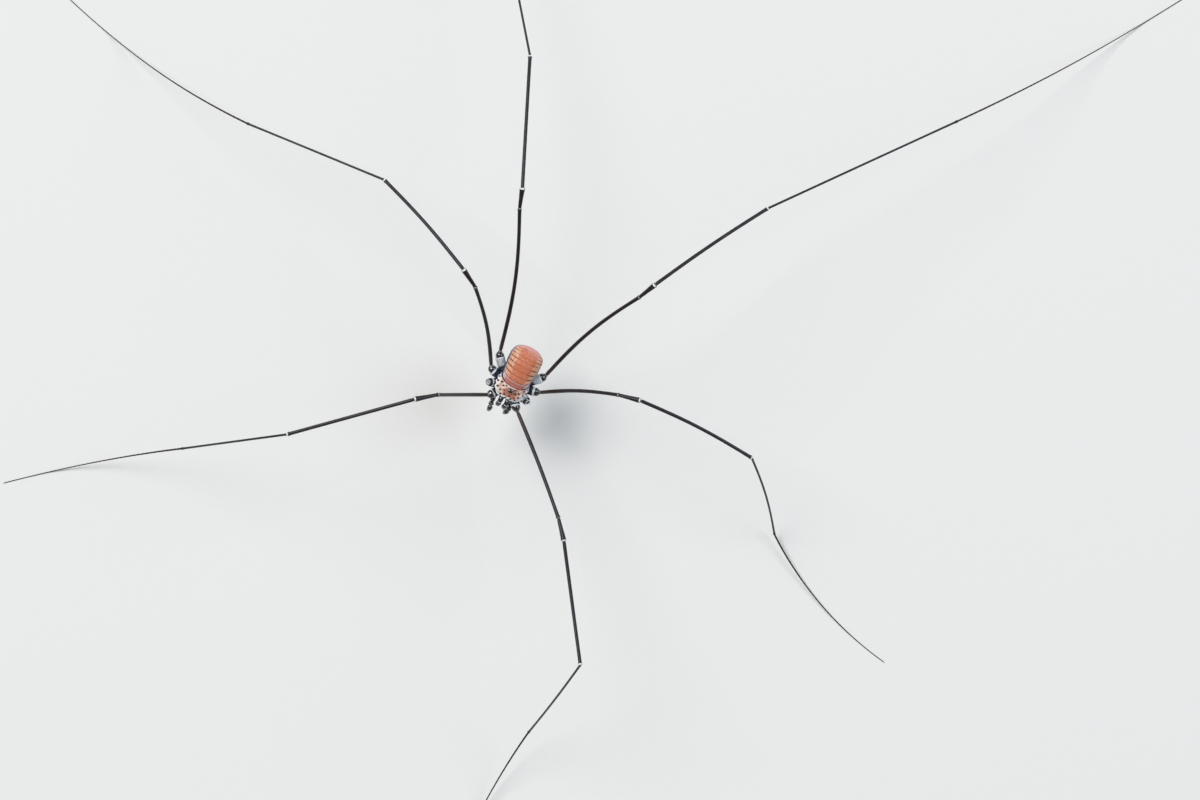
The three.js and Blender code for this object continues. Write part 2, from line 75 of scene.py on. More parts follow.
MM = 0.001
SIDES = {"left": 1, "right": -1}
BODY = "root"
UP = Vector((0, 0, 1))
FORWARDS = Vector((0, -1, 0))
TAILWARDS = Vector((0, 1, 0))

# The photograph: its size in pixels, and how many of them make a millimetre.
PHOTO = (1200, 800)
PIXELS_PER_MM = 14.2

# How the body sits: its roll, its middle over the legs' own centre, and its eyes' place along it.
BODY_ROLL = math.radians(8)
BODY_CENTRE = Vector((-0.1, 0, 6.5))
EYES_Y = -1.46

# Stations along the trunk, from the front of the head to the tail: how far along, half the width,
# the height of the back above the waist and the depth of the belly below it.
TRUNK = [
    (-2.1, 0.3, 0.1, 0.2),
    (-2.04, 0.62, 0.24, 0.42),
    (-1.82, 0.9, 0.43, 0.62),
    (-1.45, 1.06, 0.62, 0.78),
    (-1.08, 1.11, 0.8, 0.88),
    (-0.7, 1.09, 0.93, 0.94),
    (-0.3, 1.1, 1.0, 0.99),
    (0.2, 1.15, 1.02, 1.02),
    (0.75, 1.2, 1.01, 1.01),
    (1.17, 1.2, 0.94, 0.92),
    (1.45, 1.13, 0.8, 0.76),
    (1.66, 0.98, 0.62, 0.56),
    (1.82, 0.73, 0.4, 0.35),
    (1.905, 0.45, 0.22, 0.19),
    (1.945, 0.2, 0.09, 0.08),
    (1.96, 0.02, 0.01, 0.01),
]
WAIST_Z = -0.03
# A section of the trunk is a little squarer than an ellipse.
SQUARE_ACROSS = 0.88
SQUARE_UP = 0.96
# Behind this place, what stands off the trunk also stands off it towards the tail.
TAIL_SWELL_Y = 1.7
TAIL_SWELL = 2

# Edges between the plates of the back in the midline, and how far each bends towards the tail at
# its ends: the rear of the head shield, two bands, then the plates of the abdomen.
SHIELD_FRONT = -2.07
BACK_EDGES = [-1.12, -0.94, -0.76, -0.36, 0.03, 0.42, 0.79, 1.11, 1.36, 1.57, 1.74]
BACK_BENDS = [0.6, 0.53, 0.46, 0.36, 0.28, 0.2, 0.13, 0.07, 0.03, 0.0, 0.0]
BANDS = 2
TAIL_Y = 1.85
# The belly's plates bend the other way.
BELLY_EDGES = [0.1, 0.5, 0.84, 1.14, 1.38, 1.58, 1.77]
BELLY_BENDS = (-0.15, -0.15)
# Half the widths of the plates, round the trunk.
SHIELD_ANGLE = math.radians(84)
BACK_ANGLE = math.radians(72)
BELLY_ANGLE = math.radians(52)
# The top of a plate: how steeply it rises in from its sides and behind its front edge, how round
# that rise is, its height at the front, what it gains to the rear, and how far it is let in.
PLATE_SIDES = 14
PLATE_FRONT = 5
PLATE_ROUND = 0.6
PLATE_HEIGHT = 0.75
PLATE_GAIN = 0.5
PLATE_SINK = 0.5

# Hips: the middle of each ball, and the root of each coxa, on the left side of the body.
HIP_Z = -0.5
COXA_DROP = 0.2
HIPS = {
    1: ((1.0, -2.3), (0.35, -1.4)),
    2: ((1.44, -1.55), (0.35, -1.15)),
    3: ((1.76, -0.7), (0.35, -0.95)),
    4: ((1.72, 0.42), (0.5, -0.9)),
}
SHED_PAIR = 2
REAR_PAIR = 4
# A hip's ball, how far the hip reaches back into its coxa and out to the femur, and the share of
# the femur's pitch with which it leaves.
BALL_RADIUS = 0.31
BALL_LENGTH = 0.3
FEMUR_REACH = 0.36
FEMUR_LEAN = 0.6
# The way that the left socket of the shed pair faces.
SOCKET_AIM = Vector((0.62, -0.25, 0.74)).normalized()

# Legs: each pair's lengths, and each segment's heading and pitch in degrees, with how far its
# middle bows to the left of its heading and upwards. The last row is the tarsus: the two
# headings that it turns between, and its length.
SEGMENTS = ["femur", "patella", "tibia", "metatarsus"]
LENGTHS = {1: (8.4, 1.7, 9.4, 11.5), 3: (7.9, 1.6, 9.0, 11.0), 4: (10.6, 1.6, 9.9, 15.5)}
LEGS = {
    "left_1": [
        (-41.3, 17.9, 0.08, 0.25), (-49.1, 16.4, 0, 0.03), (-54.8, 24.4, 0, 0.15),
        (-98, -56, 0.05, 0.3), (-97, -84, 14.5),
    ],
    "right_1": [
        (-152.3, 66.9, 0, 0.3), (-141.3, 21.0, 0, 0.05), (-137.3, -11.5, 0, 0.15),
        (-145, -46, 0, 0.3), (-146, -138, 14.5),
    ],
    "left_3": [
        (25.4, 45.5, 0.2, 0.25), (12.8, 18.2, 0, 0.03), (0.2, -13.2, 0.2, 0.15),
        (-44.0, -57.8, 0.2, 0.1), (-36, -8, 12.2),
    ],
    "right_3": [
        (128.0, 45.8, -0.25, 0.25), (151.0, 27.9, 0, 0.03), (158.9, -20.4, -0.15, 0.15),
        (-175.3, -15.1, 0, 0.1), (-179, -196, 18),
    ],
    "left_4": [
        (66.8, 36.9, 0.36, 0.3), (65.6, 33.0, 0, 0.03), (61.7, -15.5, 0.1, 0.15),
        (52.4, -16, 0, 0.2), (52.5, 60, 21),
    ],
    "right_4": [
        (109.3, 19.2, -0.38, 0.3), (109.0, 28.0, 0, 0.03), (114.4, -18.2, 0, 0.15),
        (128.5, -9, 0, 0.2), (129, 140, 21),
    ],
}
# The share of a tarsus that lies along the floor, and the steepest fall of the rest of it.
FLAT_SHARE = 0.16
STEEPEST = 2.4

# Outlines of the segments: thickness against the segment's own, and how pale it is. Places are
# millimetres from the root, shares of the length, and millimetres back from the end.
OUTLINES = {
    "femur": (
        [(0, 0.72, 0), (0.07, 0.74, 0), (0.11, 0.95, 0), (0.3, 1.0, 0)],
        [(0.2, 1.04, 0), (0.5, 0.98, 0), (0.85, 0.94, 0)],
        [
            (0.24, 0.98, 0), (0.12, 1.14, 0), (0.06, 1.16, 0), (0.04, 1.13, 0.5), (0, 0.9, 0.5),
            (-0.03, 0.5, 0),
        ],
    ),
    "patella": (
        [(0, 0.66, 0.4), (0.04, 0.68, 0.2), (0.07, 0.86, 0), (0.14, 0.92, 0)],
        [(0.4, 1.02, 0), (0.75, 1.22, 0)],
        [
            (0.2, 1.34, 0), (0.08, 1.38, 0), (0.06, 1.37, 0.8), (0.01, 1.24, 1),
            (-0.02, 0.95, 0.7), (-0.05, 0.5, 0),
        ],
    ),
    "tibia": (
        [(0, 0.66, 0.8), (0.04, 0.68, 0.2), (0.07, 0.88, 0), (0.16, 1.02, 0)],
        [(0.2, 1.0, 0), (0.6, 0.97, 0), (0.9, 0.97, 0)],
        [
            (0.24, 1.0, 0), (0.13, 1.14, 0), (0.08, 1.16, 0.7), (0.03, 1.12, 1),
            (-0.02, 0.85, 0.8), (-0.05, 0.45, 0),
        ],
    ),
    "metatarsus": (
        [(0, 0.85, 0.3), (0.04, 0.9, 0.1), (0.07, 1.16, 0), (0.25, 1.06, 0)],
        [(0.3, 1.0, 0), (0.8, 0.95, 0)],
        [(0.25, 1.0, 0), (0.12, 1.28, 0), (0.03, 1.3, 0.1), (0, 1.0, 0.3), (-0.02, 0.5, 0)],
    ),
}
SEGMENT_RINGS = {"femur": 34, "patella": 16, "tibia": 32, "metatarsus": 40}


def vectors(*rows):
    return [Vector(row) for row in rows]


# Jaws and feelers, on the left side of the body. The left feeler is drawn in closer.
JAW_BASE = vectors((0.23, -1.85, -0.34), (0.25, -2.2, -0.2), (0.25, -2.46, -0.27))
JAW_HAND = vectors((0.25, -2.44, -0.24), (0.24, -2.64, -0.5), (0.21, -2.62, -0.9))
JAW_FINGERS = [
    vectors((0.17, -2.6, -0.86), (0.13, -2.63, -1.04), (0.16, -2.56, -1.17)),
    vectors((0.27, -2.63, -0.86), (0.3, -2.68, -1.03), (0.19, -2.6, -1.17)),
]
FEELER_REACH = {"left": 0.86, "right": 1.1}
FEELER = {
    "femur": vectors((0.62, -1.85, -0.98), (0.67, -2.25, -1.02), (0.66, -2.6, -0.95)),
    "patella": vectors((0.66, -2.6, -0.95), (0.64, -2.74, -0.87), (0.61, -2.86, -0.84)),
    "tibia": vectors((0.61, -2.86, -0.84), (0.59, -3.02, -0.86), (0.57, -3.12, -1.0)),
    "tarsus": vectors((0.57, -3.12, -1.0), (0.54, -3.18, -1.4), (0.5, -3.0, -1.88)),
}


def measure(name, description, default, least=0):
    return FloatProperty(
        name=name, description=description, default=default, min=least, precision=6,
        subtype="DISTANCE", unit="LENGTH",
    )


def amount(name, description, default, **limits):
    return FloatProperty(name=name, description=description, default=default, min=0, **limits)


def swatch(name, description, default):
    return FloatVectorProperty(
        name=name, description=description, default=default, size=3, subtype="COLOR", min=0, max=1,
    )


class HarvestmanBody(bpy.types.PropertyGroup):
    plate_rise: measure("Plate rise", "How far a back plate's middle stands over its edges", 0.000028)
    plate_thickness: measure(
        "Plate thickness", "Thickness of the plates of the back and belly", 0.00005, 0.00001,
    )
    plate_lap: measure("Plate lap", "How far a back plate's rear laps over the next plate", 0.000012)
    coxa_radius: measure("Coxa radius", "Radius of a leg's root segment at its widest", 0.00032, 0.0001)
    jaw_radius: measure("Jaw radius", "Radius of a jaw at its widest", 0.00018, 0.00005)
    feeler_radius: measure("Feeler radius", "Radius of a feeler at its widest", 0.00017, 0.00004)


class HarvestmanLegs(bpy.types.PropertyGroup):
    femur_thickness: measure(
        "Femur thickness", "Thickness of the first long segment of a leg", 0.00027, 0.00005,
    )
    patella_thickness: measure(
        "Patella thickness", "Thickness of the short segment at the knee", 0.00028, 0.00005,
    )
    tibia_thickness: measure(
        "Tibia thickness", "Thickness of the second long segment of a leg", 0.00025, 0.00005,
    )
    metatarsus_thickness: measure(
        "Metatarsus thickness", "Thickness of the third long segment of a leg", 0.000155, 0.00004,
    )
    tarsus_thickness: measure(
        "Tarsus thickness", "Thickness of the root of the jointed end of a leg", 0.000135, 0.00003,
    )
    tarsus_joint: measure(
        "Tarsus joint length", "Length of one small joint at the root of a tarsus", 0.00042, 0.0001,
    )


class HarvestmanBristles(bpy.types.PropertyGroup):
    length: measure("Length", "Length of the longest bristles on the legs", 0.000085)
    thickness: measure("Thickness", "Thickness of a bristle at its root", 0.000011)
    per_square_mm: amount("Per square mm", "Bristles on each square millimetre of a leg", 55, max=400)
    seed: IntProperty(name="Seed", description="Chooses where the bristles grow", default=7)


class HarvestmanColours(bpy.types.PropertyGroup):
    shell: swatch("Leg shell", "Dark brown shell of the legs", (0.014, 0.0085, 0.0085))
    shell_light: swatch("Leg shell, light", "Lighter mottling of the legs", (0.05, 0.028, 0.02))
    joint: swatch("Joints", "White skin and rims at the joints", (0.72, 0.74, 0.72))
    orange: swatch("Back", "Orange of the middle of the abdomen's back", (0.6, 0.17, 0.07))
    tan: swatch("Back, light", "Paler patches along both sides of the back", (0.76, 0.39, 0.24))
    rim: swatch("Back, rim", "Pink rim of the abdomen's back", (0.66, 0.3, 0.25))
    cream: swatch("Head shield", "Cream pink of the head shield", (0.7, 0.45, 0.37))
    dot: swatch("Dots", "Dark brown dots and lines of the back", (0.045, 0.014, 0.016))
    skin: swatch("Soft skin", "Dark blue skin between the plates", (0.008, 0.012, 0.028))
    black: swatch("Black shell", "Glossy black of hips and eye mound", (0.006, 0.006, 0.009))
    coxa: swatch("Coxae", "Blue-white of the root segments of the legs", (0.78, 0.83, 0.85))
    belly: swatch("Belly", "Pale grey cream of the belly's plates", (0.5, 0.43, 0.37))
    floor: swatch("Floor", "Plain pale floor", (0.74, 0.73, 0.71))


class HarvestmanStage(bpy.types.PropertyGroup):
    camera_height: measure("Camera height", "Height of the camera over the body's middle", 0.4, 0.05)
    camera_turn: FloatProperty(
        name="Camera turn", description="Turn of the camera about the vertical, from the head's line",
        default=math.radians(27.4), subtype="ANGLE", unit="ROTATION",
    )
    frame_width: measure(
        "Frame width", "Width that the frame covers at the height of the body",
        PHOTO[0] / PIXELS_PER_MM * MM, 0.01,
    )
    key_power: amount("Key light", "Power of the stronger light, in watts", 18.0)
    fill_power: amount("Fill light", "Power of the light on the other side, in watts", 9.5)


GROUPS = {
    "harvestman_body": HarvestmanBody,
    "harvestman_legs": HarvestmanLegs,
    "harvestman_bristles": HarvestmanBristles,
    "harvestman_colours": HarvestmanColours,
    "harvestman_stage": HarvestmanStage,
}


class Nodes:
    """A node tree under construction."""

    def __init__(self, tree):
        self.nodes = tree.nodes
        self.links = tree.links

    def plug(self, socket, value):
        if isinstance(value, Wire):
            value = value.socket
        if isinstance(value, bpy.types.NodeSocket):
            self.links.new(value, socket)
        elif value is not None:
            socket.default_value = value

    def add(self, kind, settings, values, named):
        """A new node. Its settings come first, then its inputs by place and by name."""
        made = self.nodes.new(kind)
        for key, value in settings.items():
            setattr(made, key, value)
        for place, value in enumerate(values):
            self.plug(made.inputs[place], value)
        for name, value in named.items():
            self.plug(made.inputs[name.replace("_", " ")], value)
        return made


class Wire:
    """A node's output that adds Math nodes where it is used in Python sums."""

    def __init__(self, finish, socket):
        self.finish = finish
        self.socket = socket

    def sum(self, operation, *values):
        return self.finish.node("ShaderNodeMath", {"operation": operation}, *values)

    def __add__(self, other):
        return self.sum("ADD", self, other)

    def __sub__(self, other):
        return self.sum("SUBTRACT", self, other)

    def __rsub__(self, other):
        return self.sum("SUBTRACT", other, self)

    def __mul__(self, other):
        return self.sum("MULTIPLY", self, other)

    def __abs__(self):
        return self.sum("ABSOLUTE", self)

    __radd__ = __add__
    __rmul__ = __mul__

    def greatest(self, other):
        return self.sum("MAXIMUM", self, other)

    def step(self, low, high):
        """0 below low and 1 above high, with a smooth ramp between. low may be above high."""
        bounds = {"From_Min": min(low, high), "From_Max": max(low, high)}
        settings = {"interpolation_type": "SMOOTHSTEP"}
        ramp = self.finish.node("ShaderNodeMapRange", settings, self, **bounds)
        return 1 - ramp if low > high else ramp


class Finish(Nodes):
    """One procedural material, painted in layers."""

    def __init__(self, name):
        self.material = bpy.data.materials.new(name)
        self.material.use_nodes = True
        super().__init__(self.material.node_tree)
        self.shader = self.nodes["Principled BSDF"]
        self.colour = None

    def node(self, kind, settings, *values, out=0, **named):
        return Wire(self, self.add(kind, settings, values, named).outputs[out])

    def mark(self, name):
        return self.node("ShaderNodeAttribute", {"attribute_name": name}, out="Fac")

    def place(self, stretch):
        """Object coordinates in millimetres."""
        where = self.node("ShaderNodeTexCoord", {}, out="Object")
        return self.node("ShaderNodeMapping", {}, where, Scale=[s / MM for s in stretch])

    def clouds(self, scale, detail=3.0, roughness=0.55, stretch=(1, 1, 1)):
        options = {"Vector": self.place(stretch), "Scale": scale, "Detail": detail}
        return self.node("ShaderNodeTexNoise", {}, Roughness=roughness, **options)

    def cells(self, scale):
        return self.node("ShaderNodeTexVoronoi", {}, Vector=self.place((1, 1, 1)), Scale=scale)

    def mix(self, share, first, second):
        """Between two colours. The node's colour inputs come after five of its other types."""
        ends = [end if isinstance(end, Wire) else (*end, 1) for end in (first, second)]
        values = [share, *[None] * 5, *ends]
        return self.node("ShaderNodeMix", {"data_type": "RGBA"}, *values, out=2)

    def paint(self, share, colour):
        """Lays a colour over what is there."""
        self.colour = self.mix(share, self.colour, colour)

    def relief(self, height, strength, depth_mm):
        options = {"Strength": strength, "Distance": depth_mm * MM, "Height": height}
        self.plug(self.shader.inputs["Normal"], self.node("ShaderNodeBump", {}, **options))

    def done(self, rough, **fixed):
        for name, value in {"Base_Color": self.colour, "Roughness": rough, **fixed}.items():
            self.plug(self.shader.inputs[name.replace("_", " ")], value)


def shade(colour, share):
    return [value * share for value in colour]


# Fixed colours of the looks, beside those of the settings.
SPECULAR_BLUE = (0.75, 0.86, 1.0, 1)
SEAM_BROWN = (0.09, 0.065, 0.05)
WARM_BLACK = (0.02, 0.014, 0.014)
BLUE_WHITE = (0.78, 0.83, 0.88)
LENS_BLACK = (0.004, 0.005, 0.009)
# Painted blue reflection of the sky in the eyes.
LENS_REFLECTION_BLUE = (0.02, 0.05, 0.12)
PALE_TAN = (0.84, 0.66, 0.52)
DUSTY_PINK = (0.62, 0.42, 0.45)
LILAC = (0.58, 0.47, 0.6)
SHIELD_PINK = (0.8, 0.66, 0.6)
EDGE_WHITE = (0.88, 0.86, 0.86)
DARK_MAUVE = (0.2, 0.12, 0.17)
BAND_WHITE = (0.8, 0.7, 0.66)
GREY_VIOLET = (0.17, 0.12, 0.19)
PALE_VIOLET = (0.6, 0.52, 0.66)
FOLD_BLUE = (0.035, 0.07, 0.15)
# Painted blue reflection streaks on the soft skin of the flanks.
SKY_SHEEN_BLUE = (0.1, 0.25, 0.55)
UNDERSIDE_GREY = (0.3, 0.27, 0.25)
COXA_BLUE = (0.07, 0.1, 0.16)
COXA_GREY = (0.24, 0.25, 0.27)
RIM_WHITE = (0.86, 0.89, 0.9)
BLOTCH_BROWN = (0.36, 0.32, 0.29)
GROOVE_BROWN = (0.1, 0.08, 0.08)
BRISTLE_BROWN = (0.06, 0.04, 0.03)


# Each look paints a finish, f, with the colours of the settings, c.
def leg_shell(f, c):
    """Satin dark brown shell of the legs, white at the joints."""
    mottle = f.clouds(2.2, 4).step(0.45, 0.75)
    speck = f.cells(9.0).step(0.26, 0.12) * f.clouds(5.0).step(0.5, 0.62)
    pale = (f.mark("pale") + (f.clouds(18, 2) - 0.5) * 0.3).step(0.3, 0.75)
    f.colour = c.shell
    f.paint(mottle * 0.5 + speck * 0.45, c.shell_light)
    f.paint(f.mark("root") * 0.7, shade(c.shell_light, 1.6))
    f.paint(pale, c.joint)
    f.relief(f.cells(14.0).step(0.0, 0.6) + f.clouds(30, 2) * 0.4, 0.3, 0.01)
    rough = 0.26 + f.clouds(6, 3) * 0.2 + pale * 0.15
    f.done(rough, Specular_IOR_Level=0.4, Specular_Tint=SPECULAR_BLUE)


def tarsus_shell(f, c):
    """Dull grey-brown of the fine ends of the legs, a little lighter between their joints."""
    tone = f.clouds(3.0, 3).step(0.35, 0.7)
    f.colour = c.shell
    f.paint(tone * 0.6, shade(c.shell_light, 0.8))
    f.paint(f.mark("seam") * 0.4, SEAM_BROWN)
    f.relief(f.clouds(40, 2), 0.3, 0.006)
    f.done(0.38 + tone * 0.15, Specular_IOR_Level=0.35)


def black_shell(f, c):
    """Glossy black shell of the hips and the eye mound."""
    pale = (f.mark("pale") + (f.clouds(16, 3) - 0.5) * 0.25).step(0.12, 0.9)
    f.colour = c.black
    f.paint(f.clouds(3.0).step(0.5, 0.75) * 0.6, WARM_BLACK)
    f.paint(pale, BLUE_WHITE)
    f.relief(f.cells(11.0).step(0.0, 0.35) + f.clouds(22, 2) * 0.3, 0.14, 0.008)
    rough = 0.12 + f.clouds(7.0) * 0.1 + pale * 0.25
    f.done(rough, IOR=1.5, Coat_Weight=1.0, Coat_IOR=1.75, Coat_Roughness=0.05)


def eye_lens(f, c):
    """Smooth black lens with a painted blue reflection of the sky in faint clouds."""
    f.colour = LENS_BLACK
    # Faint blue clouds over the black: a painted reflection of the sky.
    f.paint(f.clouds(6.0, 2).step(0.42, 0.6) * 0.6, LENS_REFLECTION_BLUE)
    f.done(0.04 + f.clouds(3.0) * 0.03, IOR=1.9, Coat_Weight=1.0, Coat_IOR=1.9)


def back_plates(f, c):
    """Orange plates of the abdomen: paler squares at the sides, dark bars at the joins, pink rim."""
    across, along, tail = abs(f.mark("across")), f.mark("along"), f.mark("tail")
    warp = f.clouds(3.2, 4, 0.65) - 0.5
    mottle = f.clouds(5.5, 5, 0.7).step(0.36, 0.66)
    f.colour = c.orange
    f.paint(mottle * 0.75, shade(c.orange, 0.62))
    f.paint(f.clouds(1.5, 3).step(0.42, 0.68) * 0.35, c.rim)
    freckle = f.cells(7.5).step(0.3, 0.14) * f.clouds(2.6).step(0.42, 0.58)
    f.paint(freckle * 0.4, shade(c.dot, 2.2))

    # Paler squares along both sides, each with a light border.
    wavy = across + warp * 0.26
    inner = abs(wavy - 0.57).step(0.14, 0.08).greatest(abs(wavy - 0.82).step(0.12, 0.07))
    inside = (along + warp * 0.3).step(0.06, 0.2) * (along + warp * 0.3).step(0.96, 0.82)
    patch = f.mix(mottle * 0.55, c.tan, c.orange)
    border = f.mix(mottle * 0.3, PALE_TAN, c.tan)
    f.paint(wavy.step(0.4, 0.5) * 0.85, f.mix(inner * inside, border, patch))

    # Dark bars at the joins.
    end = (along + warp * 0.06).step(0.17, 0.05)
    near = (along + warp * 0.1).step(0.27, 0.1).greatest(along.step(0.88, 0.95))
    broken = f.clouds(3.4, 2).step(0.34, 0.46)
    bars = near * (across + warp * 0.3).step(0.36, 0.5) * broken
    f.paint((bars * 0.93).greatest(end * (0.6 + across * 0.3)), c.dot)

    # The pink rim, the torn pale seams of the last plates and the dark edge.
    rim = (across + warp * 0.1).step(0.88, 0.97).greatest((tail + warp * 0.16).step(0.78, 0.92))
    f.paint(rim * 0.85, f.mix(mottle * 0.5, c.rim, DUSTY_PINK))
    seam = (along + warp * 0.25).step(0.76, 0.92) * tail.step(0.62, 0.76)
    f.paint(seam * f.clouds(2.2, 3).step(0.4, 0.58) * 0.6, LILAC)
    f.paint(across.step(0.972, 0.99) * 0.7, c.skin)
    f.relief(f.cells(13.0).step(0.0, 0.5) * 0.6 + f.clouds(20, 3) * 0.7, 0.55, 0.022)
    f.done(0.42 + mottle * 0.15, Specular_IOR_Level=0.4)


def head_shield(f, c):
    """Cream pink head shield with dark dots, orange round the eye mound, white at its edge."""
    across, along = abs(f.mark("across")), f.mark("along")
    mottle = f.clouds(3.6, 4, 0.6)
    f.colour = SHIELD_PINK
    f.paint(mottle.step(0.38, 0.6), c.cream)
    f.paint(f.clouds(2.1, 3).step(0.54, 0.64) * 0.7, shade(c.orange, 0.75))
    glow = (f.mark("glow") * 1.1 + mottle * 0.6 - 0.3).step(0.22, 0.5)
    f.paint(glow * 0.85, shade(c.orange, 0.85))
    patchy = (mottle - 0.5) * 0.9
    edge = (across + patchy).step(0.66, 0.8).greatest((along + patchy * 0.3).step(0.2, 0.09))
    f.paint(edge * 0.92, EDGE_WHITE)
    dots = (f.mark("dots") + (f.clouds(9, 2) - 0.5) * 0.5).step(0.22, 0.42)
    crumbs = f.cells(5.2).step(0.24, 0.12) * f.clouds(1.7).step(0.46, 0.56)
    f.paint(dots.greatest(crumbs * 0.5), c.dot)
    outline = (across + (mottle - 0.5) * 0.03).step(0.955, 0.98).greatest(along.step(0.03, 0.015))
    f.paint(outline * 0.85, c.skin)
    f.paint(along.step(0.965, 0.99) * 0.6, DARK_MAUVE)
    f.relief(f.cells(12.0).step(0.0, 0.5) * 0.6 + mottle, 0.5, 0.02)
    f.done(0.4 + mottle * 0.2)


def bands(f, c):
    """Orange bands behind the head shield, whitish at their ends and grey-violet at their edges."""
    across, along = abs(f.mark("across")), f.mark("along")
    mottle = f.clouds(5.0, 3)
    f.colour = shade(c.orange, 0.9)
    f.paint(mottle.step(0.35, 0.65) * 0.6, c.rim)
    ends = (across + (mottle - 0.5) * 0.3).step(0.5, 0.66) * across.step(0.95, 0.85)
    f.paint(ends * 0.8, BAND_WHITE)
    f.paint(abs(along - 0.5).step(0.28, 0.42) * 0.85, GREY_VIOLET)
    f.paint(f.mark("line") * abs(along - 0.9).step(0.12, 0.04) * 0.75, PALE_VIOLET)
    f.paint(f.cells(6.0).step(0.2, 0.08) * f.clouds(2.0).step(0.5, 0.6) * 0.6, c.dot)
    f.relief(f.clouds(16, 3), 0.45, 0.015)
    f.done(0.42 + mottle * 0.15)


def soft_skin(f, c):
    """Soft dark blue skin of the flanks, finely wrinkled, with a wet sheen and bright streaks of
    painted blue reflection.
    """
    folds = f.clouds(7.0, 4, 0.6, (1, 0.35, 1.4))
    f.colour = c.skin
    f.paint(folds.step(0.45, 0.68), FOLD_BLUE)
    # Bright blue streaks along the flanks: a painted reflection of the sky.
    painted_sheen = f.clouds(3.0, 3, 0.5, (1, 0.5, 2.0)).step(0.56, 0.66) * f.mark("flank")
    f.paint(painted_sheen * 0.8, SKY_SHEEN_BLUE)
    f.paint(f.mark("belly").step(0.2, 0.8) * 0.8, UNDERSIDE_GREY)
    f.relief(folds, 0.8, 0.04)
    f.done(0.26 + folds * 0.2, Coat_Weight=0.3, Coat_Roughness=0.2)


def coxae(f, c):
    """Dark blue-grey coxae with pale mottling, blue-white towards their ends and at their rims."""
    pale = f.mark("pale")
    mottle = f.clouds(4.5, 4)
    f.colour = c.skin
    f.paint(mottle.step(0.42, 0.68), COXA_BLUE)
    f.paint(f.cells(8.0).step(0.24, 0.1) * 0.6, COXA_GREY)
    white = f.mix(pale.step(0.7, 0.98), c.coxa, RIM_WHITE)
    before_rim = pale.step(0.99, 0.85)
    blotch = f.clouds(5.5, 5, 0.7).step(0.46, 0.66) * before_rim
    white = f.mix(blotch * 0.5, white, BLOTCH_BROWN)
    pits = f.cells(7.5).step(0.26, 0.14) * before_rim
    white = f.mix(pits * 0.6, white, f.colour)
    light = (pale + (mottle - 0.5) * 1.1).step(0.3, 0.62).greatest(pale.step(0.85, 0.95))
    f.paint(light, white)
    f.relief(f.cells(10.0).step(0.0, 0.45) + mottle * 0.5, 0.5, 0.018)
    f.done(0.32 + mottle * 0.2, Coat_Weight=0.2, Coat_Roughness=0.2)


def belly_plates(f, c):
    """Grey cream plates of the belly with faint cross lines."""
    mottle = f.clouds(4.0, 4)
    f.colour = c.belly
    f.paint(mottle.step(0.35, 0.7) * 0.6, shade(c.belly, 1.25))
    f.paint(abs(f.mark("along") - 0.5).step(0.38, 0.49) * 0.6, GROOVE_BROWN)
    f.relief(f.clouds(18, 3), 0.4, 0.015)
    f.done(0.42 + mottle * 0.15)


def bristles(f, c):
    """Dark, slightly shiny bristles."""
    f.colour = c.shell
    f.paint(f.clouds(3.0).step(0.4, 0.7), BRISTLE_BROWN)
    f.done(0.34 + f.clouds(5.0) * 0.1)


def floor(f, c):
    """Plain pale floor, faintly uneven so that it isn't dead flat."""
    tone = f.clouds(0.05, 2)
    f.colour = c.floor
    f.paint(tone * 0.08, shade(c.floor, 0.93))
    f.done(0.75 + tone * 0.05)


LOOKS = [
    leg_shell, tarsus_shell, black_shell, eye_lens, back_plates, head_shield, bands, soft_skin,
    coxae, belly_plates, bristles, floor,
]
FINISHES = {look.__name__.replace("_", " "): look for look in LOOKS}


def finish(name):
    """A material by name, made once."""
    found = bpy.data.materials.get(name)
    if found:
        return found
    made = Finish(name)
    FINISHES[name](made, bpy.context.scene.harvestman_colours)
    return made.material


def middle_of(node):
    """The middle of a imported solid, in millimetres."""
    low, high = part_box(node)
    return (low + high) / 2 / MM


def find_body():
    """The frame of the body and the legs' own centre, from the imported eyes."""
    eyes = [middle_of(f"eye_{side}") for side in SIDES]
    between = (eyes[0] + eyes[1]) / 2
    height = (between.z - BODY_CENTRE.z) / math.cos(BODY_ROLL)
    roll = Matrix.Rotation(BODY_ROLL, 3, "Y")
    centre = between - roll @ Vector((0, EYES_Y, height))
    return Matrix.Translation(centre) @ roll.to_4x4(), centre - BODY_CENTRE


BODY_PLACE, LEG_CENTRE = find_body()


def unit(value):
    return min(max(value, 0), 1)


def blend(values, place):
    """A smooth value at a place between the entries of a list."""
    at = min(max(int(place), 0), len(values) - 2)
    t = unit(place - at)
    a, b, c, d = (values[min(max(at + k, 0), len(values) - 1)] for k in (-1, 0, 1, 2))
    slope_b, slope_c = (c - a) / 2, (d - b) / 2
    cube, square = t**3, t**2
    return (
        b * (2 * cube - 3 * square + 1) + slope_b * (cube - 2 * square + t)
        + c * (3 * square - 2 * cube) + slope_c * (cube - square)
    )


def spread(values, count):
    """A smooth list of count values through a few given ones."""
    last = len(values) - 1
    return [blend(values, i * last / (count - 1)) for i in range(count)]


def smooth_line(points, count):
    """Points spread along a smooth curve through a few given ones."""
    return vectors(*zip(*(spread([p[axis] for p in points], count) for axis in range(3))))


def circle(middle, side, up, radius, count):
    angles = [2 * math.pi * k / count for k in range(count)]
    return [middle + (side * math.cos(a) + up * math.sin(a)) * radius for a in angles]


def direction(heading, pitch):
    """A unit vector from degrees round from +X and degrees above the horizon."""
    heading, pitch = math.radians(heading), math.radians(pitch)
    flat = math.cos(pitch)
    return Vector((flat * math.cos(heading), flat * math.sin(heading), math.sin(pitch)))


def across(t, s):
    return s


def along(t, s):
    return t


def keep(piece, slot, *nodes):
    """Hands a finished piece to the frame."""
    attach(piece, BODY)
    if nodes:
        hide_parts(*nodes)


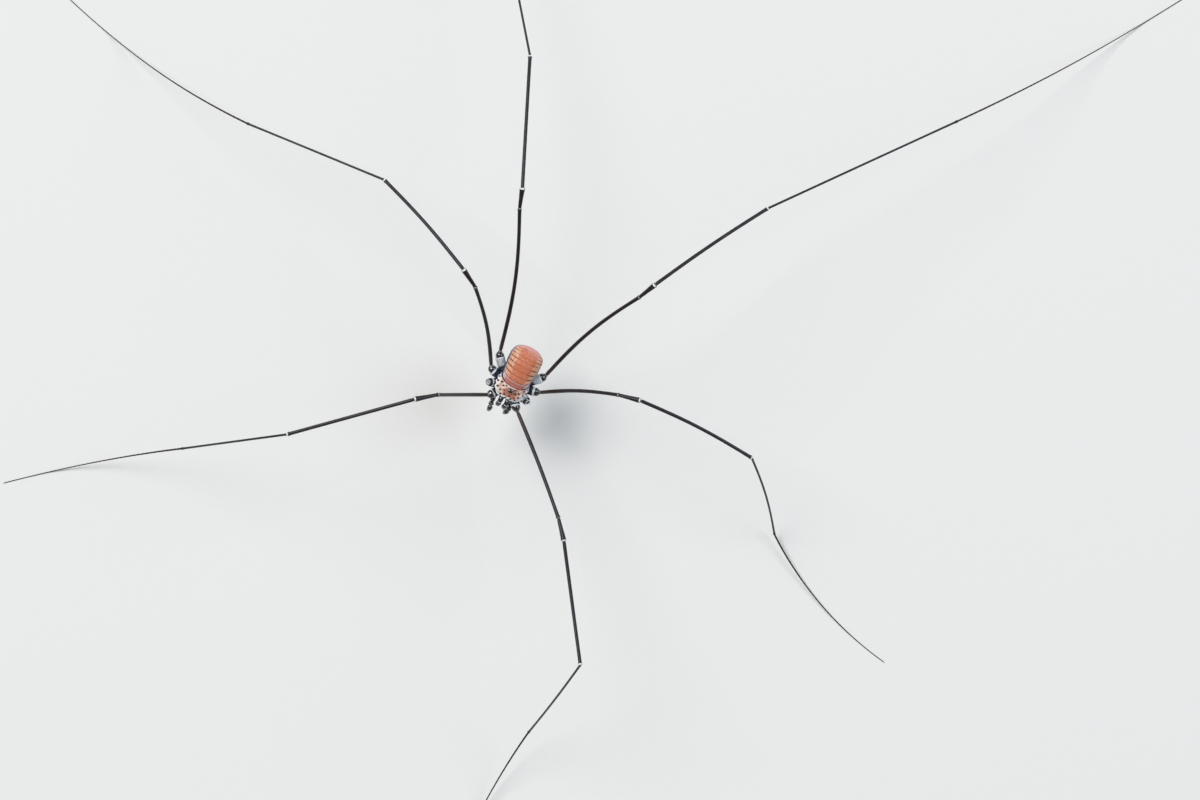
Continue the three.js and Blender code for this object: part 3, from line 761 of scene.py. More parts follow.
class Shape:
    """Points and faces of one piece, in millimetres, with marks that its material reads."""

    # A mark that fades out down a limb's sides: what is left of it half way down, and how fast.
    SIDE_SHARE = 0.15
    SIDE_FADE = 1.5
    # A limb that starts steeper than this takes its first ring's upper side from the front.
    STEEP = 0.95

    def __init__(self, *marks):
        self.points = []
        self.faces = []
        self.marks = {name: [] for name in marks}
        self.lies = []

    def point(self, place, lie=None, **marks):
        self.points.append(Vector(place))
        self.lies.append(lie or UP)
        for name, values in self.marks.items():
            values.append(marks.get(name, 0.0))
        return len(self.points) - 1

    def ring(self, places, lie=None, **marks):
        return [self.point(place, lie, **marks) for place in places]

    def bridge(self, first, second):
        for i in range(len(first)):
            j = (i + 1) % len(first)
            self.faces.append((first[i], first[j], second[j], second[i]))

    def cap(self, ring, outwards, **marks):
        middle = sum((self.points[i] for i in ring), Vector()) / len(ring)
        tip = self.point(middle, self.lies[ring[0]], **marks)
        for i, here in enumerate(ring):
            there = ring[(i + 1) % len(ring)]
            self.faces.append((here, there, tip) if outwards else (there, here, tip))

    def loft(self, rings, root, end):
        """Closes a row of rings. root and end are the marks of its two caps."""
        for first, second in zip(rings, rings[1:]):
            self.bridge(first, second)
        self.cap(rings[0], False, **root)
        self.cap(rings[-1], True, **end)

    def tube(self, line, radii, sides, heads=None, upper=None, **marks):
        """A round limb along a line. marks gives one value for each ring, heads its direction.

        The mark named by upper fades out down the limb's sides.
        """
        up = UP
        rings = []
        for i, here in enumerate(line):
            ahead = (line[min(i + 1, len(line) - 1)] - line[max(i - 1, 0)]).normalized()
            if heads and heads[i]:
                ahead = heads[i]
            if i == 0 and abs(up.dot(ahead)) > self.STEEP:
                up = FORWARDS
            up = (up - ahead * up.dot(ahead)).normalized()
            values = {name: row[i] for name, row in marks.items()}
            ring = []
            for s, place in enumerate(circle(here, up.cross(ahead), up, radii[i], sides)):
                if upper:
                    height = math.sin(2 * math.pi * s / sides)
                    values[upper] = marks[upper][i] * unit(self.SIDE_SHARE + self.SIDE_FADE * height)
                ring.append(self.point(place, ahead, **values))
            rings.append(ring)
        root, end = (
            {name: 0.0 if name == upper else row[i] for name, row in marks.items()} for i in (0, -1)
        )
        self.loft(rings, root, end)

    def slab(self, grid, top, under, **marks):
        """A closed plate: top and under give a point for each share along and across it."""
        rows, columns = grid

        def corner(surface, r, c):
            t, s = r / rows, 2 * c / columns - 1
            values = {name: mark(t, s) for name, mark in marks.items()}
            return self.point(surface(t, s), TAILWARDS, **values)

        upper, lower = (
            [[corner(surface, r, c) for c in range(columns + 1)] for r in range(rows + 1)]
            for surface in (top, under)
        )
        for r in range(rows):
            for c in range(columns):
                square = [(r, c), (r, c + 1), (r + 1, c + 1), (r + 1, c)]
                self.faces.append(tuple(upper[i][j] for i, j in square))
                self.faces.append(tuple(lower[i][j] for i, j in reversed(square)))
        edge = [(0, c) for c in range(columns)] + [(r, columns) for r in range(rows)]
        edge += [(rows, c) for c in range(columns, 0, -1)] + [(r, 0) for r in range(rows, 0, -1)]
        for (i, j), (k, l) in zip(edge, edge[1:] + edge[:1]):
            self.faces.append((upper[i][j], lower[i][j], lower[k][l], upper[k][l]))

    def spike(self, foot, tip, radius, sides=5):
        ahead = tip - foot
        side = ahead.orthogonal().normalized()
        turn = Quaternion(ahead, 2 * math.pi / sides)
        places = []
        for _ in range(sides):
            places.append(foot + side * radius)
            side = turn @ side
        ring = self.ring(places, ahead.normalized())
        self.cap(ring, False)
        top = self.point(tip, ahead.normalized())
        for i, here in enumerate(ring):
            self.faces.append((here, ring[(i + 1) % sides], top))

    def lay(self, name, look, slot, *nodes, matrix=BODY_PLACE):
        """Makes the piece and hands it to the frame."""
        mesh = bpy.data.meshes.new(name)
        mesh.from_pydata([p * MM for p in self.points], [], self.faces)
        for mark, values in self.marks.items():
            mesh.attributes.new(mark, "FLOAT", "POINT").data.foreach_set("value", values)
        lies = mesh.attributes.new("lie", "FLOAT_VECTOR", "POINT")
        turn = matrix.to_3x3()
        lies.data.foreach_set("vector", [c for lie in self.lies for c in turn @ lie])
        placed = matrix.copy()
        placed.translation *= MM
        mesh.transform(placed)
        mesh.polygons.foreach_set("use_smooth", [True] * len(mesh.polygons))
        mesh.materials.append(finish(look))
        mesh.update()
        piece = bpy.data.objects.new(name, mesh)
        bpy.context.scene.collection.objects.link(piece)
        keep(piece, slot, *nodes)


def trunk_size(y):
    """Half the width, the height of the back and the depth of the belly at a place along the trunk."""
    index = min(sum(1 for row in TRUNK[1:-1] if row[0] <= y), len(TRUNK) - 2)
    share = (y - TRUNK[index][0]) / (TRUNK[index + 1][0] - TRUNK[index][0])
    return [blend([row[k] for row in TRUNK], index + unit(share)) for k in (1, 2, 3)]


def trunk_point(y, angle, lift=0.0):
    """A point of the trunk's surface: angle 0 is the middle of the back, a half turn the belly."""
    half, top, bottom = trunk_size(y)
    aside, rise = math.sin(angle), math.cos(angle)
    height = top if rise > 0 else bottom
    wide = math.copysign(abs(aside) ** SQUARE_ACROSS, aside)
    tall = math.copysign(abs(rise) ** SQUARE_UP, rise)
    back = lift * max(0.0, y - TAIL_SWELL_Y) * TAIL_SWELL
    return Vector(((half + lift) * wide, y + back, WAIST_Z + (height + lift) * tall))


def plate(shape, edges, bends, half_angle, lifts, grid, centre=0.0, **marks):
    """A plate on the trunk between two bent edges. Its rear edge stands over the next one's front."""
    rise, thick = lifts

    def surface(t, s, lift):
        front, rear = (edge + bend * s * s for edge, bend in zip(edges, bends))
        return trunk_point(front + (rear - front) * t, centre + half_angle * s, lift)

    def top(t, s):
        border = math.sqrt(min(1, (1 - abs(s)) * PLATE_SIDES))
        front = min(1, t * PLATE_FRONT) ** PLATE_ROUND
        slope = front * (PLATE_HEIGHT + PLATE_GAIN * t) - PLATE_SINK
        return surface(t, s, rise * slope * border)

    shape.slab(grid, top, lambda t, s: surface(t, s, -thick), **marks)


class HARVESTMAN_OT_skin(bpy.types.Operator):
    """Soft skin of the trunk, under all its plates"""

    bl_idname = "harvestman.skin"
    bl_label = "Soft skin"
    STEPS = 72
    SIDES = 80
    # How far it lies under the plates, and how far in it stands under the brim of the head shield.
    INSET = 0.05
    BRIM_INSET = 0.06
    # Where the brim ends along the trunk, and over what length it fades.
    BRIM_END = -0.75
    BRIM_FADE = 0.3
    # The bare flank runs from the back's plates to the belly's, round from the middle of the back.
    FLANK = (math.radians(70), math.radians(132))
    FLANK_BORDERS = (8, 5)
    # Its folds and creases: their stretch along and across the trunk, their fineness and depth.
    STRETCH = (2.2, 1.6)
    FOLDS = (1.7, 0.035)
    CREASES = (4, 0.02)

    def crumple(self, y, angle, off):
        lengthwise, crosswise = self.STRETCH
        turned = math.copysign(off, math.pi - angle)
        place = Vector((y * lengthwise, math.cos(angle) * crosswise, turned))
        fold, fold_depth = self.FOLDS
        crease, crease_depth = self.CREASES
        folds = noise.noise(place * fold) * fold_depth
        return folds - crease_depth * abs(noise.noise(place * crease))

    def execute(self, context):
        shape = Shape("belly", "flank")
        rings = []
        first, last = TRUNK[0][0], TRUNK[-1][0]
        (top, bottom), (upper, lower) = self.FLANK, self.FLANK_BORDERS
        for i in range(self.STEPS + 1):
            y = first + (last - first) * (0.5 - 0.5 * math.cos(math.pi * (i / self.STEPS)))
            head = unit((self.BRIM_END - y) / self.BRIM_FADE)
            ring = []
            for s in range(self.SIDES):
                angle = 2 * math.pi * s / self.SIDES
                off = min(angle, 2 * math.pi - angle)
                flank = unit((off - top) * upper) * unit((bottom - off) * lower)
                lift = (self.crumple(y, angle, off) - self.BRIM_INSET * head) * flank
                lift -= self.INSET * (1 - flank * (1 - head))
                marks = {"belly": max(0.0, -math.cos(angle)), "flank": flank}
                ring.append(shape.point(trunk_point(y, angle, lift), **marks))
            rings.append(ring)
        shape.loft(rings, {}, {})
        shape.lay("soft_skin", "soft skin", "abdomen", "front_body", "abdomen")
        return {"FINISHED"}


class HARVESTMAN_OT_shield(bpy.types.Operator):
    """Head shield with its scalloped sides, and the two bands behind it"""

    bl_idname = "harvestman.shield"
    bl_label = "Head shield"
    # Dark dots of the shield, as places on it in the frame of the body, and their radii.
    DOTS = [
        (1.08, -1.14, 0.075), (-1.06, -1.16, 0.075), (0.84, -1.06, 0.06), (-0.82, -1.12, 0.08),
        (0.62, -1.37, 0.085), (-0.62, -1.32, 0.07), (-0.93, -1.52, 0.075), (0.7, -1.64, 0.08),
        (-0.5, -1.93, 0.075), (0.26, -1.96, 0.07), (-0.27, -1.84, 0.065), (0.08, -1.8, 0.07),
        (0.4, -1.5, 0.07), (0.26, -1.27, 0.06), (-0.66, -1.66, 0.07), (0.94, -1.36, 0.065),
        (-0.42, -1.24, 0.06), (0.44, -1.78, 0.055), (-0.4, -1.58, 0.05), (-1.1, -0.86, 0.06),
        (1.1, -0.84, 0.06), (-0.08, -2.02, 0.06), (0.55, -1.9, 0.06),
    ]
    DOT_FADE = 1.5
    # The orange round the eyes: its middle, its reach, and its stretch across and along.
    GLOW_Y = -1.6
    GLOW_REACH = 0.62
    GLOW_STRETCH = (0.8, 1.1)
    # The shield's rear edge stands this much before the first band.
    REAR_GAP = 0.02
    # The brim stands out in lobes over the coxae, and sags a little.
    LOBES = 4
    LOBE_SHIFT = 0.06
    BRIM = 0.075
    BRIM_WAVE = 0.045
    BRIM_SAG = 0.25
    # Where it starts across the shield and how wide it is, and how it grows from the front.
    BRIM_START = 0.55
    BRIM_WIDTH = 0.45
    BRIM_FRONT = 0.35
    BRIM_GROWTH = 3
    # Over the mouth it has smaller lobes, which soon fade towards the eyes.
    FRONT_LOBES = 3
    FRONT_BRIM = 0.02
    FRONT_WAVE = 0.6
    FRONT_FADE = 7
    # How steeply the shield rises from its sides, its front and its rear, and its height there.
    BORDERS = (12, 16, 18)
    REAR_HEIGHT = 0.2
    # Fineness and height of its swellings and bumps.
    BUMPS = [(3.1, 0.03), (7.5, 0.014)]
    # The long groove on each side: its place at the rear, how far it spreads to the front, and
    # its width and depth.
    GROOVE_PLACE = 0.42
    GROOVE_SPREAD = 0.2
    GROOVE_WIDTH = 0.05
    GROOVE_DEPTH = 0.045
    GRID = (110, 150)
    BAND_GRID = (14, 90)
    # The bands and the shield stand higher than the plates of the abdomen.
    BAND_RISE = 1.8
    SHIELD_RISE = 1.4

    def shield_point(self, t, s, lift=0.0):
        """A point of the shield: t runs from its front to its rear edge, s across it."""
        rear = BACK_EDGES[0] - self.REAR_GAP + BACK_BENDS[0] * s * s
        y = SHIELD_FRONT + (rear - SHIELD_FRONT) * t
        place = trunk_point(y, SHIELD_ANGLE * s, lift)
        edge = unit((abs(s) - self.BRIM_START) / self.BRIM_WIDTH) ** 2
        wave = math.cos(2 * math.pi * self.LOBES * (t - self.LOBE_SHIFT))
        growth = min(1, self.BRIM_FRONT + t * self.BRIM_GROWTH)
        brim = (self.BRIM + self.BRIM_WAVE * wave) * edge * growth
        front = max(0.0, 1 - t * self.FRONT_FADE) ** 2
        nose = self.BRIM_WAVE * math.cos(2 * math.pi * self.FRONT_LOBES * s) * front
        ahead = -nose * self.FRONT_WAVE - self.FRONT_BRIM * front
        return place + Vector((math.copysign(brim, s), ahead, -self.BRIM_SAG * brim))

    def top(self, t, s, rise):
        """A point of the uneven upper side."""
        place = self.shield_point(t, s)
        side, front, rear = self.BORDERS
        border = min(1, (1 - abs(s)) * side, t * front, (1 - t) * rear + self.REAR_HEIGHT)
        bumps = sum(noise.noise(place * fineness) * height for fineness, height in self.BUMPS)
        off = abs(s) - self.GROOVE_PLACE - self.GROOVE_SPREAD * (1 - t)
        groove = -self.GROOVE_DEPTH * math.exp(-((off / self.GROOVE_WIDTH) ** 2)) * t
        lift = rise * self.SHIELD_RISE * math.sqrt(max(border, 0))
        return self.shield_point(t, s, lift + (bumps + groove) * min(1, border))

    def dots(self, t, s):
        place = self.shield_point(t, s)
        offs = [
            1 - math.hypot(place.x - x, place.y - y) / (radius * self.DOT_FADE)
            for x, y, radius in self.DOTS
        ]
        return max(0.0, *offs)

    def glow(self, t, s):
        place = self.shield_point(t, s)
        wide, long = self.GLOW_STRETCH
        off = math.hypot(place.x * wide, (place.y - self.GLOW_Y) * long)
        return max(0.0, 1 - off / self.GLOW_REACH)

    def execute(self, context):
        body = context.scene.harvestman_body
        rise, thick = body.plate_rise / MM, body.plate_thickness / MM
        marks = {"across": across, "along": along, "glow": self.glow, "dots": self.dots}
        shape = Shape(*marks)
        shape.slab(
            self.GRID, lambda t, s: self.top(t, s, rise),
            lambda t, s: self.shield_point(t, s, -thick), **marks,
        )
        shape.lay("head_shield", "head shield", "shield")

        shape = Shape("across", "along", "line")
        lap = body.plate_lap / MM
        for k in range(BANDS):
            plate(
                shape, (BACK_EDGES[k], BACK_EDGES[k + 1] + lap), BACK_BENDS[k : k + 2], BACK_ANGLE,
                (rise * self.BAND_RISE, thick), self.BAND_GRID,
                across=across, along=along, line=lambda t, s: float(k),
            )
        shape.lay("bands", "bands", "abdomen")
        return {"FINISHED"}


class HARVESTMAN_OT_back(bpy.types.Operator):
    """Orange plates of the abdomen's back"""

    bl_idname = "harvestman.back"
    bl_label = "Back plates"
    GRID = (22, 110)

    def execute(self, context):
        body = context.scene.harvestman_body
        lifts = (body.plate_rise / MM, body.plate_thickness / MM)
        lap = body.plate_lap / MM
        shape = Shape("across", "along", "tail")
        edges = [*BACK_EDGES[BANDS:], TAIL_Y]
        bends = [*BACK_BENDS[BANDS:], 0.0]
        count = len(edges) - 1
        for k in range(count):
            plate(
                shape, (edges[k], edges[k + 1] + lap), bends[k : k + 2], BACK_ANGLE, lifts,
                self.GRID, across=across, along=along, tail=lambda t, s: (k + t) / count,
            )
        shape.lay("back_plates", "back plates", "abdomen")
        return {"FINISHED"}


class HARVESTMAN_OT_belly(bpy.types.Operator):
    """Plates of the belly, the long plate between the coxae, and the tail cap"""

    bl_idname = "harvestman.belly"
    bl_label = "Belly plates"
    GRID = (12, 60)
    FLATNESS = 0.7
    # The long plate: its two ends, its half width in radians between them, and how far it hangs.
    LID_ENDS = (-1.6, 0.08)
    LID_OUTLINE = [0.1, 0.3, 0.36, 0.38, 0.42, 0.52, 0.6]
    LID_DROP = 0.07
    LID_DEPTH = 0.08
    LID_ROUND = 0.3
    LID_GRID = (40, 24)
    CAP_LIFT = 0.7
    CAP_RINGS = 14
    CAP_SIDES = 48

    def lid_point(self, t, s, lift):
        front, rear = self.LID_ENDS
        half = blend(self.LID_OUTLINE, t * (len(self.LID_OUTLINE) - 1))
        place = trunk_point(front + (rear - front) * t, math.pi + half * s, lift)
        return place - UP * (self.LID_DROP * (1 - s * s) ** 0.5)

    def execute(self, context):
        body = context.scene.harvestman_body
        rise, thick = body.plate_rise / MM * self.FLATNESS, body.plate_thickness / MM
        lap = body.plate_lap / MM
        shape = Shape("along")
        for front, rear in zip(BELLY_EDGES, BELLY_EDGES[1:]):
            plate(
                shape, (front, rear + lap), BELLY_BENDS, BELLY_ANGLE, (rise, thick), self.GRID,
                centre=math.pi, along=along,
            )
        shape.lay("belly_plates", "belly plates", "abdomen")

        lid = Shape("along")
        lid.slab(
            self.LID_GRID,
            lambda t, s: self.lid_point(t, s, rise * math.sin(math.pi * t) ** self.LID_ROUND),
            lambda t, s: self.lid_point(t, s, -thick) + UP * self.LID_DEPTH,
            along=lambda t, s: 0.5,
        )
        lid.lay("belly_lid", "belly plates", "abdomen")

        tail = Shape("across", "along", "tail")
        marks = {"tail": 1.0, "along": 0.5}
        loops = []
        for r in range(self.CAP_RINGS + 1):
            y = TAIL_Y + (TRUNK[-1][0] - TAIL_Y) * math.sin(math.pi / 2 * r / self.CAP_RINGS)
            angles = [2 * math.pi * k / self.CAP_SIDES for k in range(self.CAP_SIDES)]
            places = [trunk_point(y, angle, rise * self.CAP_LIFT) for angle in angles]
            loops.append(tail.ring(places, **marks))
        tail.loft(loops, marks, marks)
        tail.lay("tail_cap", "back plates", "abdomen")
        return {"FINISHED"}


def hip_ball(side, pair):
    (x, y), _ = HIPS[pair]
    return Vector((side * x, y, HIP_Z))


def coxa_root(side, pair):
    _, (x, y) = HIPS[pair]
    return Vector((side * x, y, HIP_Z - COXA_DROP))


class HARVESTMAN_OT_coxae(bpy.types.Operator):
    """Root segments of all eight legs, with a cup at each end for the hip"""

    bl_idname = "harvestman.coxae"
    bl_label = "Coxae"
    # Share of the way to the rim, share of the radius, and how pale. The last rows turn inwards.
    OUTLINE = [
        (0.0, 0.35, 0), (0.1, 0.72, 0), (0.25, 0.86, 0), (0.45, 0.94, 0), (0.65, 1.0, 0),
        (0.78, 1.03, 0.05), (0.88, 1.05, 0.35), (0.96, 1.08, 1), (1.0, 1.03, 1), (1.0, 0.95, 1),
        (0.95, 0.88, 0.7), (0.88, 0.8, 0.3),
    ]
    RINGS = 52
    SIDES = 32
    RIM_REACH = 0.1
    SAG = 0.06
    # Extra pale towards the end of the rearmost coxae, from this share on.
    REAR_PALE = 0.75
    REAR_START = 0.45
    REAR_GROWTH = 3

    def execute(self, context):
        radius = context.scene.harvestman_body.coxa_radius / MM
        shares, sizes, pale = (spread(column, self.RINGS) for column in zip(*self.OUTLINE))
        radii = [radius * s for s in sizes]
        light = [self.REAR_PALE * unit((t - self.REAR_START) * self.REAR_GROWTH) for t in shares]
        rear = [max(pair) for pair in zip(pale, light)]
        for side_name, side in SIDES.items():
            shape = Shape("pale")
            for pair in HIPS:
                root, end = coxa_root(side, pair), hip_ball(side, pair)
                reach = (end - root).length
                line = []
                for share in shares:
                    t = share * (reach - self.RIM_REACH) / reach
                    line.append(root.lerp(end, t) - UP * (self.SAG * math.sin(math.pi * t)))
                heads = [(end - root).normalized()] * self.RINGS
                light = rear if pair == REAR_PAIR else pale
                shape.tube(line, radii, self.SIDES, heads, pale=light)
            shape.lay(f"coxae_{side_name}", "coxae", "shield")
        return {"FINISHED"}


def femur_start(leg):
    """Where a leg leaves its hip, in the frame of the body."""
    side_name, pair = leg.split("_")
    heading, pitch = LEGS[leg][0][:2]
    start = hip_ball(SIDES[side_name], int(pair))
    return start + direction(heading, pitch * FEMUR_LEAN) * FEMUR_REACH


class HARVESTMAN_OT_hips(bpy.types.Operator):
    """Glossy black hips, with open sockets where the second pair of legs was shed"""

    bl_idname = "harvestman.hips"
    bl_label = "Hips"
    RINGS = 40
    SIDES = 32
    # Least radii of a hip: inside its coxa, at its neck, and at the collar round the leg's root.
    ROOT = 0.12
    NECK = 0.15
    COLLAR = 0.175
    # Where along a hip the neck starts, and the place and width of the collar.
    NECK_START = 0.5
    COLLAR_PLACE = 0.93
    COLLAR_WIDTH = 0.05
    # How pale the skin at the end of a hip is, where it starts and how fast it grows pale.
    END_PALE = 0.5
    END_START = 0.95
    END_GROWTH = 20
    # Rings before a socket that are at least as wide as its mouth.
    MOUTH_RINGS = 3
    # The open end of a shed hip: reach from its middle, radius, and how pale. It ends in a hollow.
    SOCKETS = {
        "right": [
            (0.235, 0.225, 0), (0.262, 0.212, 0.15), (0.268, 0.2, 0.3), (0.255, 0.19, 0.2),
            (0.225, 0.18, 0.45), (0.21, 0.14, 0.55), (0.203, 0.08, 0.5), (0.2, 0.02, 0.4),
        ],
        "left": [
            (0.235, 0.225, 0), (0.268, 0.212, 0.7), (0.28, 0.19, 1), (0.27, 0.165, 1),
            (0.22, 0.14, 0.5), (0.15, 0.12, 0), (0.11, 0.08, 0), (0.1, 0.02, 0.1),
        ],
    }

    def middle_line(self, side, pair, end):
        """A bent line from the coxa through the ball to where the hip ends."""
        middle = hip_ball(side, pair)
        start = middle + (coxa_root(side, pair) - middle).normalized() * BALL_LENGTH
        shares = [i / (self.RINGS - 1) for i in range(self.RINGS)]
        return [start * (1 - t) ** 2 + middle * 2 * t * (1 - t) + end * t**2 for t in shares]

    def ball_radius(self, place, middle, least):
        off = (place - middle).length
        return max(math.sqrt(max(BALL_RADIUS**2 - off**2, 0)), least)

    def leg_hip(self, leg):
        side_name, pair = leg.split("_")
        side, pair = SIDES[side_name], int(pair)
        line = self.middle_line(side, pair, femur_start(leg))
        radii, pale = [], []
        for i, place in enumerate(line):
            share = i / (self.RINGS - 1)
            off = (share - self.COLLAR_PLACE) / self.COLLAR_WIDTH
            collar = self.COLLAR * math.exp(-(off**2))
            least = max(self.NECK, collar) if share > self.NECK_START else self.ROOT
            radii.append(self.ball_radius(place, hip_ball(side, pair), least))
            pale.append(self.END_PALE * unit((share - self.END_START) * self.END_GROWTH))
        return line, radii, None, pale

    def shed_hip(self, side_name):
        side = SIDES[side_name]
        aim = Vector((SOCKET_AIM.x * side, SOCKET_AIM.y, SOCKET_AIM.z))
        middle = hip_ball(side, SHED_PAIR)
        socket = self.SOCKETS[side_name]
        line = self.middle_line(side, SHED_PAIR, middle + aim * socket[0][0])[:-1]
        radii = [self.ball_radius(place, middle, self.ROOT) for place in line]
        before = slice(-self.MOUTH_RINGS, None)
        radii[before] = [max(radius, socket[0][1]) for radius in radii[before]]
        heads = [None] * len(line) + [aim] * len(socket)
        pale = [0.0] * len(line)
        for reach, radius, light in socket:
            line.append(middle + aim * reach)
            radii.append(radius)
            pale.append(light)
        return line, radii, heads, pale

    def execute(self, context):
        hips = {leg: self.leg_hip(leg) for leg in LEGS}
        hips |= {f"{side}_{SHED_PAIR}": self.shed_hip(side) for side in SIDES}
        for name, (line, radii, heads, pale) in hips.items():
            shape = Shape("pale")
            shape.tube(line, radii, self.SIDES, heads, pale=pale)
            shape.lay(f"hip_{name}", "black shell", "black_shell", f"trochanter_{name}")
        return {"FINISHED"}


class HARVESTMAN_OT_eyes(bpy.types.Operator):
    """Eye mound with its rows of tiny teeth, and the two eyes in it"""

    bl_idname = "harvestman.eyes"
    bl_label = "Eyes"
    # The mound's outline: rows of its width and of its height, as shares of its own.
    MOUND = [1.3, 1.12, 1.02, 1.0, 1.0, 0.97, 0.88, 0.68, 0.36, 0.05]
    LEVELS = [-0.5, -0.1, 0.1, 0.3, 0.5, 0.68, 0.84, 0.96, 1.02, 1.04]
    MOUND_HEIGHT = 0.33
    MOUND_MARGIN = 0.06
    RINGS = 22
    SIDES = 36
    # The middle between the eyes, from the mound's foot, and the way that the left eye looks.
    EYES_OFF = Vector((0, -0.02, 0.2))
    LOOK = (1, -0.1, 0.25)
    # Teeth of a row: how far each leans over, how far the row leans aside, where a tooth stands,
    # to the side, up and outwards, and its length and radius.
    TEETH = [math.radians(-60 + 24 * k) for k in range(6)]
    TOOTH_SPLAY = 0.32
    TOOTH_ROOT = (0.055, 0.17, 0.14)
    TOOTH = (0.075, 0.016)
    LENS_RINGS = 18
    LENS_SIDES = 32
    RIM_TURNS = 36
    RIM_SIDES = 8
    RIM_REACH = 0.12
    RIM_WIRE = 0.016

    def mound(self, foot, width):
        shape = Shape("pale")
        line = [foot + UP * (self.MOUND_HEIGHT * z) for z in spread(self.LEVELS, self.RINGS)]
        shape.tube(line, [width * s for s in spread(self.MOUND, self.RINGS)], self.SIDES)
        aside, height, reach = self.TOOTH_ROOT
        length, radius = self.TOOTH
        for side in SIDES.values():
            for angle in self.TEETH:
                lean = Vector((side * self.TOOTH_SPLAY, math.sin(angle), math.cos(angle)))
                lean.normalize()
                root = foot + Vector((side * aside, 0, height)) + lean * reach
                shape.spike(root, root + lean * length, radius)
        return shape

    def lens(self, centre, out, radius):
        shape = Shape()
        angles = [math.pi * (i + 0.5) / self.LENS_RINGS for i in range(self.LENS_RINGS)]
        line = [centre - out * radius * math.cos(a) for a in angles]
        shape.tube(line, [radius * math.sin(a) for a in angles], self.LENS_SIDES)
        return shape

    def rim(self, centre, out, radius):
        shape = Shape("pale")
        side = out.orthogonal().normalized()
        loops = []
        for away in circle(Vector(), side, out.cross(side), 1, self.RIM_TURNS):
            middle = centre + out * radius * self.RIM_REACH + away * radius
            loops.append(shape.ring(circle(middle, away, out, self.RIM_WIRE, self.RIM_SIDES)))
        for first, second in zip(loops, loops[1:] + loops[:1]):
            shape.bridge(second, first)
        return shape

    def execute(self, context):
        inverse = BODY_PLACE.inverted()
        centres = {name: inverse @ middle_of(f"eye_{name}") for name in SIDES}
        low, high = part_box("eye_left")
        radius = (high.y - low.y) / 2 / MM
        left, right = centres.values()
        foot = (left + right) / 2 - self.EYES_OFF
        width = (left - right).length / 2 + self.MOUND_MARGIN
        self.mound(foot, width).lay("eye_mound", "black shell", "black_shell", "eye_mound")
        aside, *rest = self.LOOK
        for name, centre in centres.items():
            eye = (centre, Vector((aside * SIDES[name], *rest)).normalized(), radius)
            self.lens(*eye).lay(f"eye_{name}_lens", "eye lens", "black_shell", f"eye_{name}")
            self.rim(*eye).lay(f"eye_{name}_rim", "black shell", "black_shell")
        return {"FINISHED"}


class HARVESTMAN_OT_mouthparts(bpy.types.Operator):
    """Jaws with their pincers, and the two feelers"""

    bl_idname = "harvestman.mouthparts"
    bl_label = "Jaws and feelers"
    # Thickness along each segment, as shares of the jaw's or the feeler's radius.
    BASE = [0.75, 0.95, 1.0, 0.98, 0.9]
    HAND = [0.72, 0.98, 1.05, 1.0, 0.9, 0.7]
    FINGER = [1, 0.95, 0.75, 0.45, 0.12]
    HOOK = [1, 0.7, 0.2]
    FEELER = {
        "femur": [0.6, 0.95, 1.0, 1.0, 1.05, 0.85],
        "patella": [0.6, 0.9, 1.02, 1.15, 1.1, 0.8],
        "tibia": [0.6, 0.95, 1.08, 1.08, 1.05, 0.8],
        "tarsus": [0.6, 0.85, 0.86, 0.8, 0.72, 0.62, 0.5, 0.3],
    }
    FINGER_SHARE = 0.38
    HOOK_SHARE = 0.25
    # The feeler's hook, from its tip.
    HOOK_BENDS = vectors((0, 0, 0), (0, 0.03, -0.05), (0, 0.08, -0.06))
    # Rings along each segment and sides round it.
    BASE_GRID = (18, 22)
    HAND_GRID = (22, 22)
    FINGER_GRID = (14, 12)
    FEELER_GRID = (20, 22)
    HOOK_GRID = (8, 8)
    # The second ring of a limb with pale ends is this much as pale.
    PALE_FADE = 0.6
    NODES = {"femur": "femur", "patella": "tibia", "tibia": "tibia", "tarsus": "tarsus"}

    def limb(self, shape, points, sizes, radius, grid, ends=1.0):
        rings, sides = grid
        radii = [radius * s for s in spread(sizes, rings)]
        pale = [ends, ends * self.PALE_FADE, *[0.0] * (rings - 3), ends]
        shape.tube(smooth_line(points, rings), radii, sides, pale=pale)

    def jaw(self, side, radius):
        def mirrored(points):
            return [Vector((p.x * side, p.y, p.z)) for p in points]

        shape = Shape("pale")
        self.limb(shape, mirrored(JAW_BASE), self.BASE, radius, self.BASE_GRID)
        self.limb(shape, mirrored(JAW_HAND), self.HAND, radius, self.HAND_GRID)
        for finger in JAW_FINGERS:
            points, thin = mirrored(finger), radius * self.FINGER_SHARE
            self.limb(shape, points, self.FINGER, thin, self.FINGER_GRID, 0)
        return shape

    def feeler(self, side_name, segment, radius):
        root = FEELER["femur"][0].y
        side, reach = SIDES[side_name], FEELER_REACH[side_name]
        points = [
            Vector((p.x * side, root + (p.y - root) * reach, p.z)) for p in FEELER[segment]
        ]
        shape = Shape("pale")
        self.limb(shape, points, self.FEELER[segment], radius, self.FEELER_GRID)
        if segment == "tarsus":
            hook = [points[-1] + bend for bend in self.HOOK_BENDS]
            self.limb(shape, hook, self.HOOK, radius * self.HOOK_SHARE, self.HOOK_GRID, 0)
        return shape

    def execute(self, context):
        body = context.scene.harvestman_body
        for name, side in SIDES.items():
            jaw = self.jaw(side, body.jaw_radius / MM)
            jaw.lay(f"jaw_{name}", "black shell", "jaw", f"chelicera_{name}")
            for segment, node in self.NODES.items():
                feeler = self.feeler(name, segment, body.feeler_radius / MM)
                piece = f"feeler_{name}_{segment}"
                feeler.lay(piece, "black shell", "jaw", f"pedipalp_{name}_{node}")
        return {"FINISHED"}


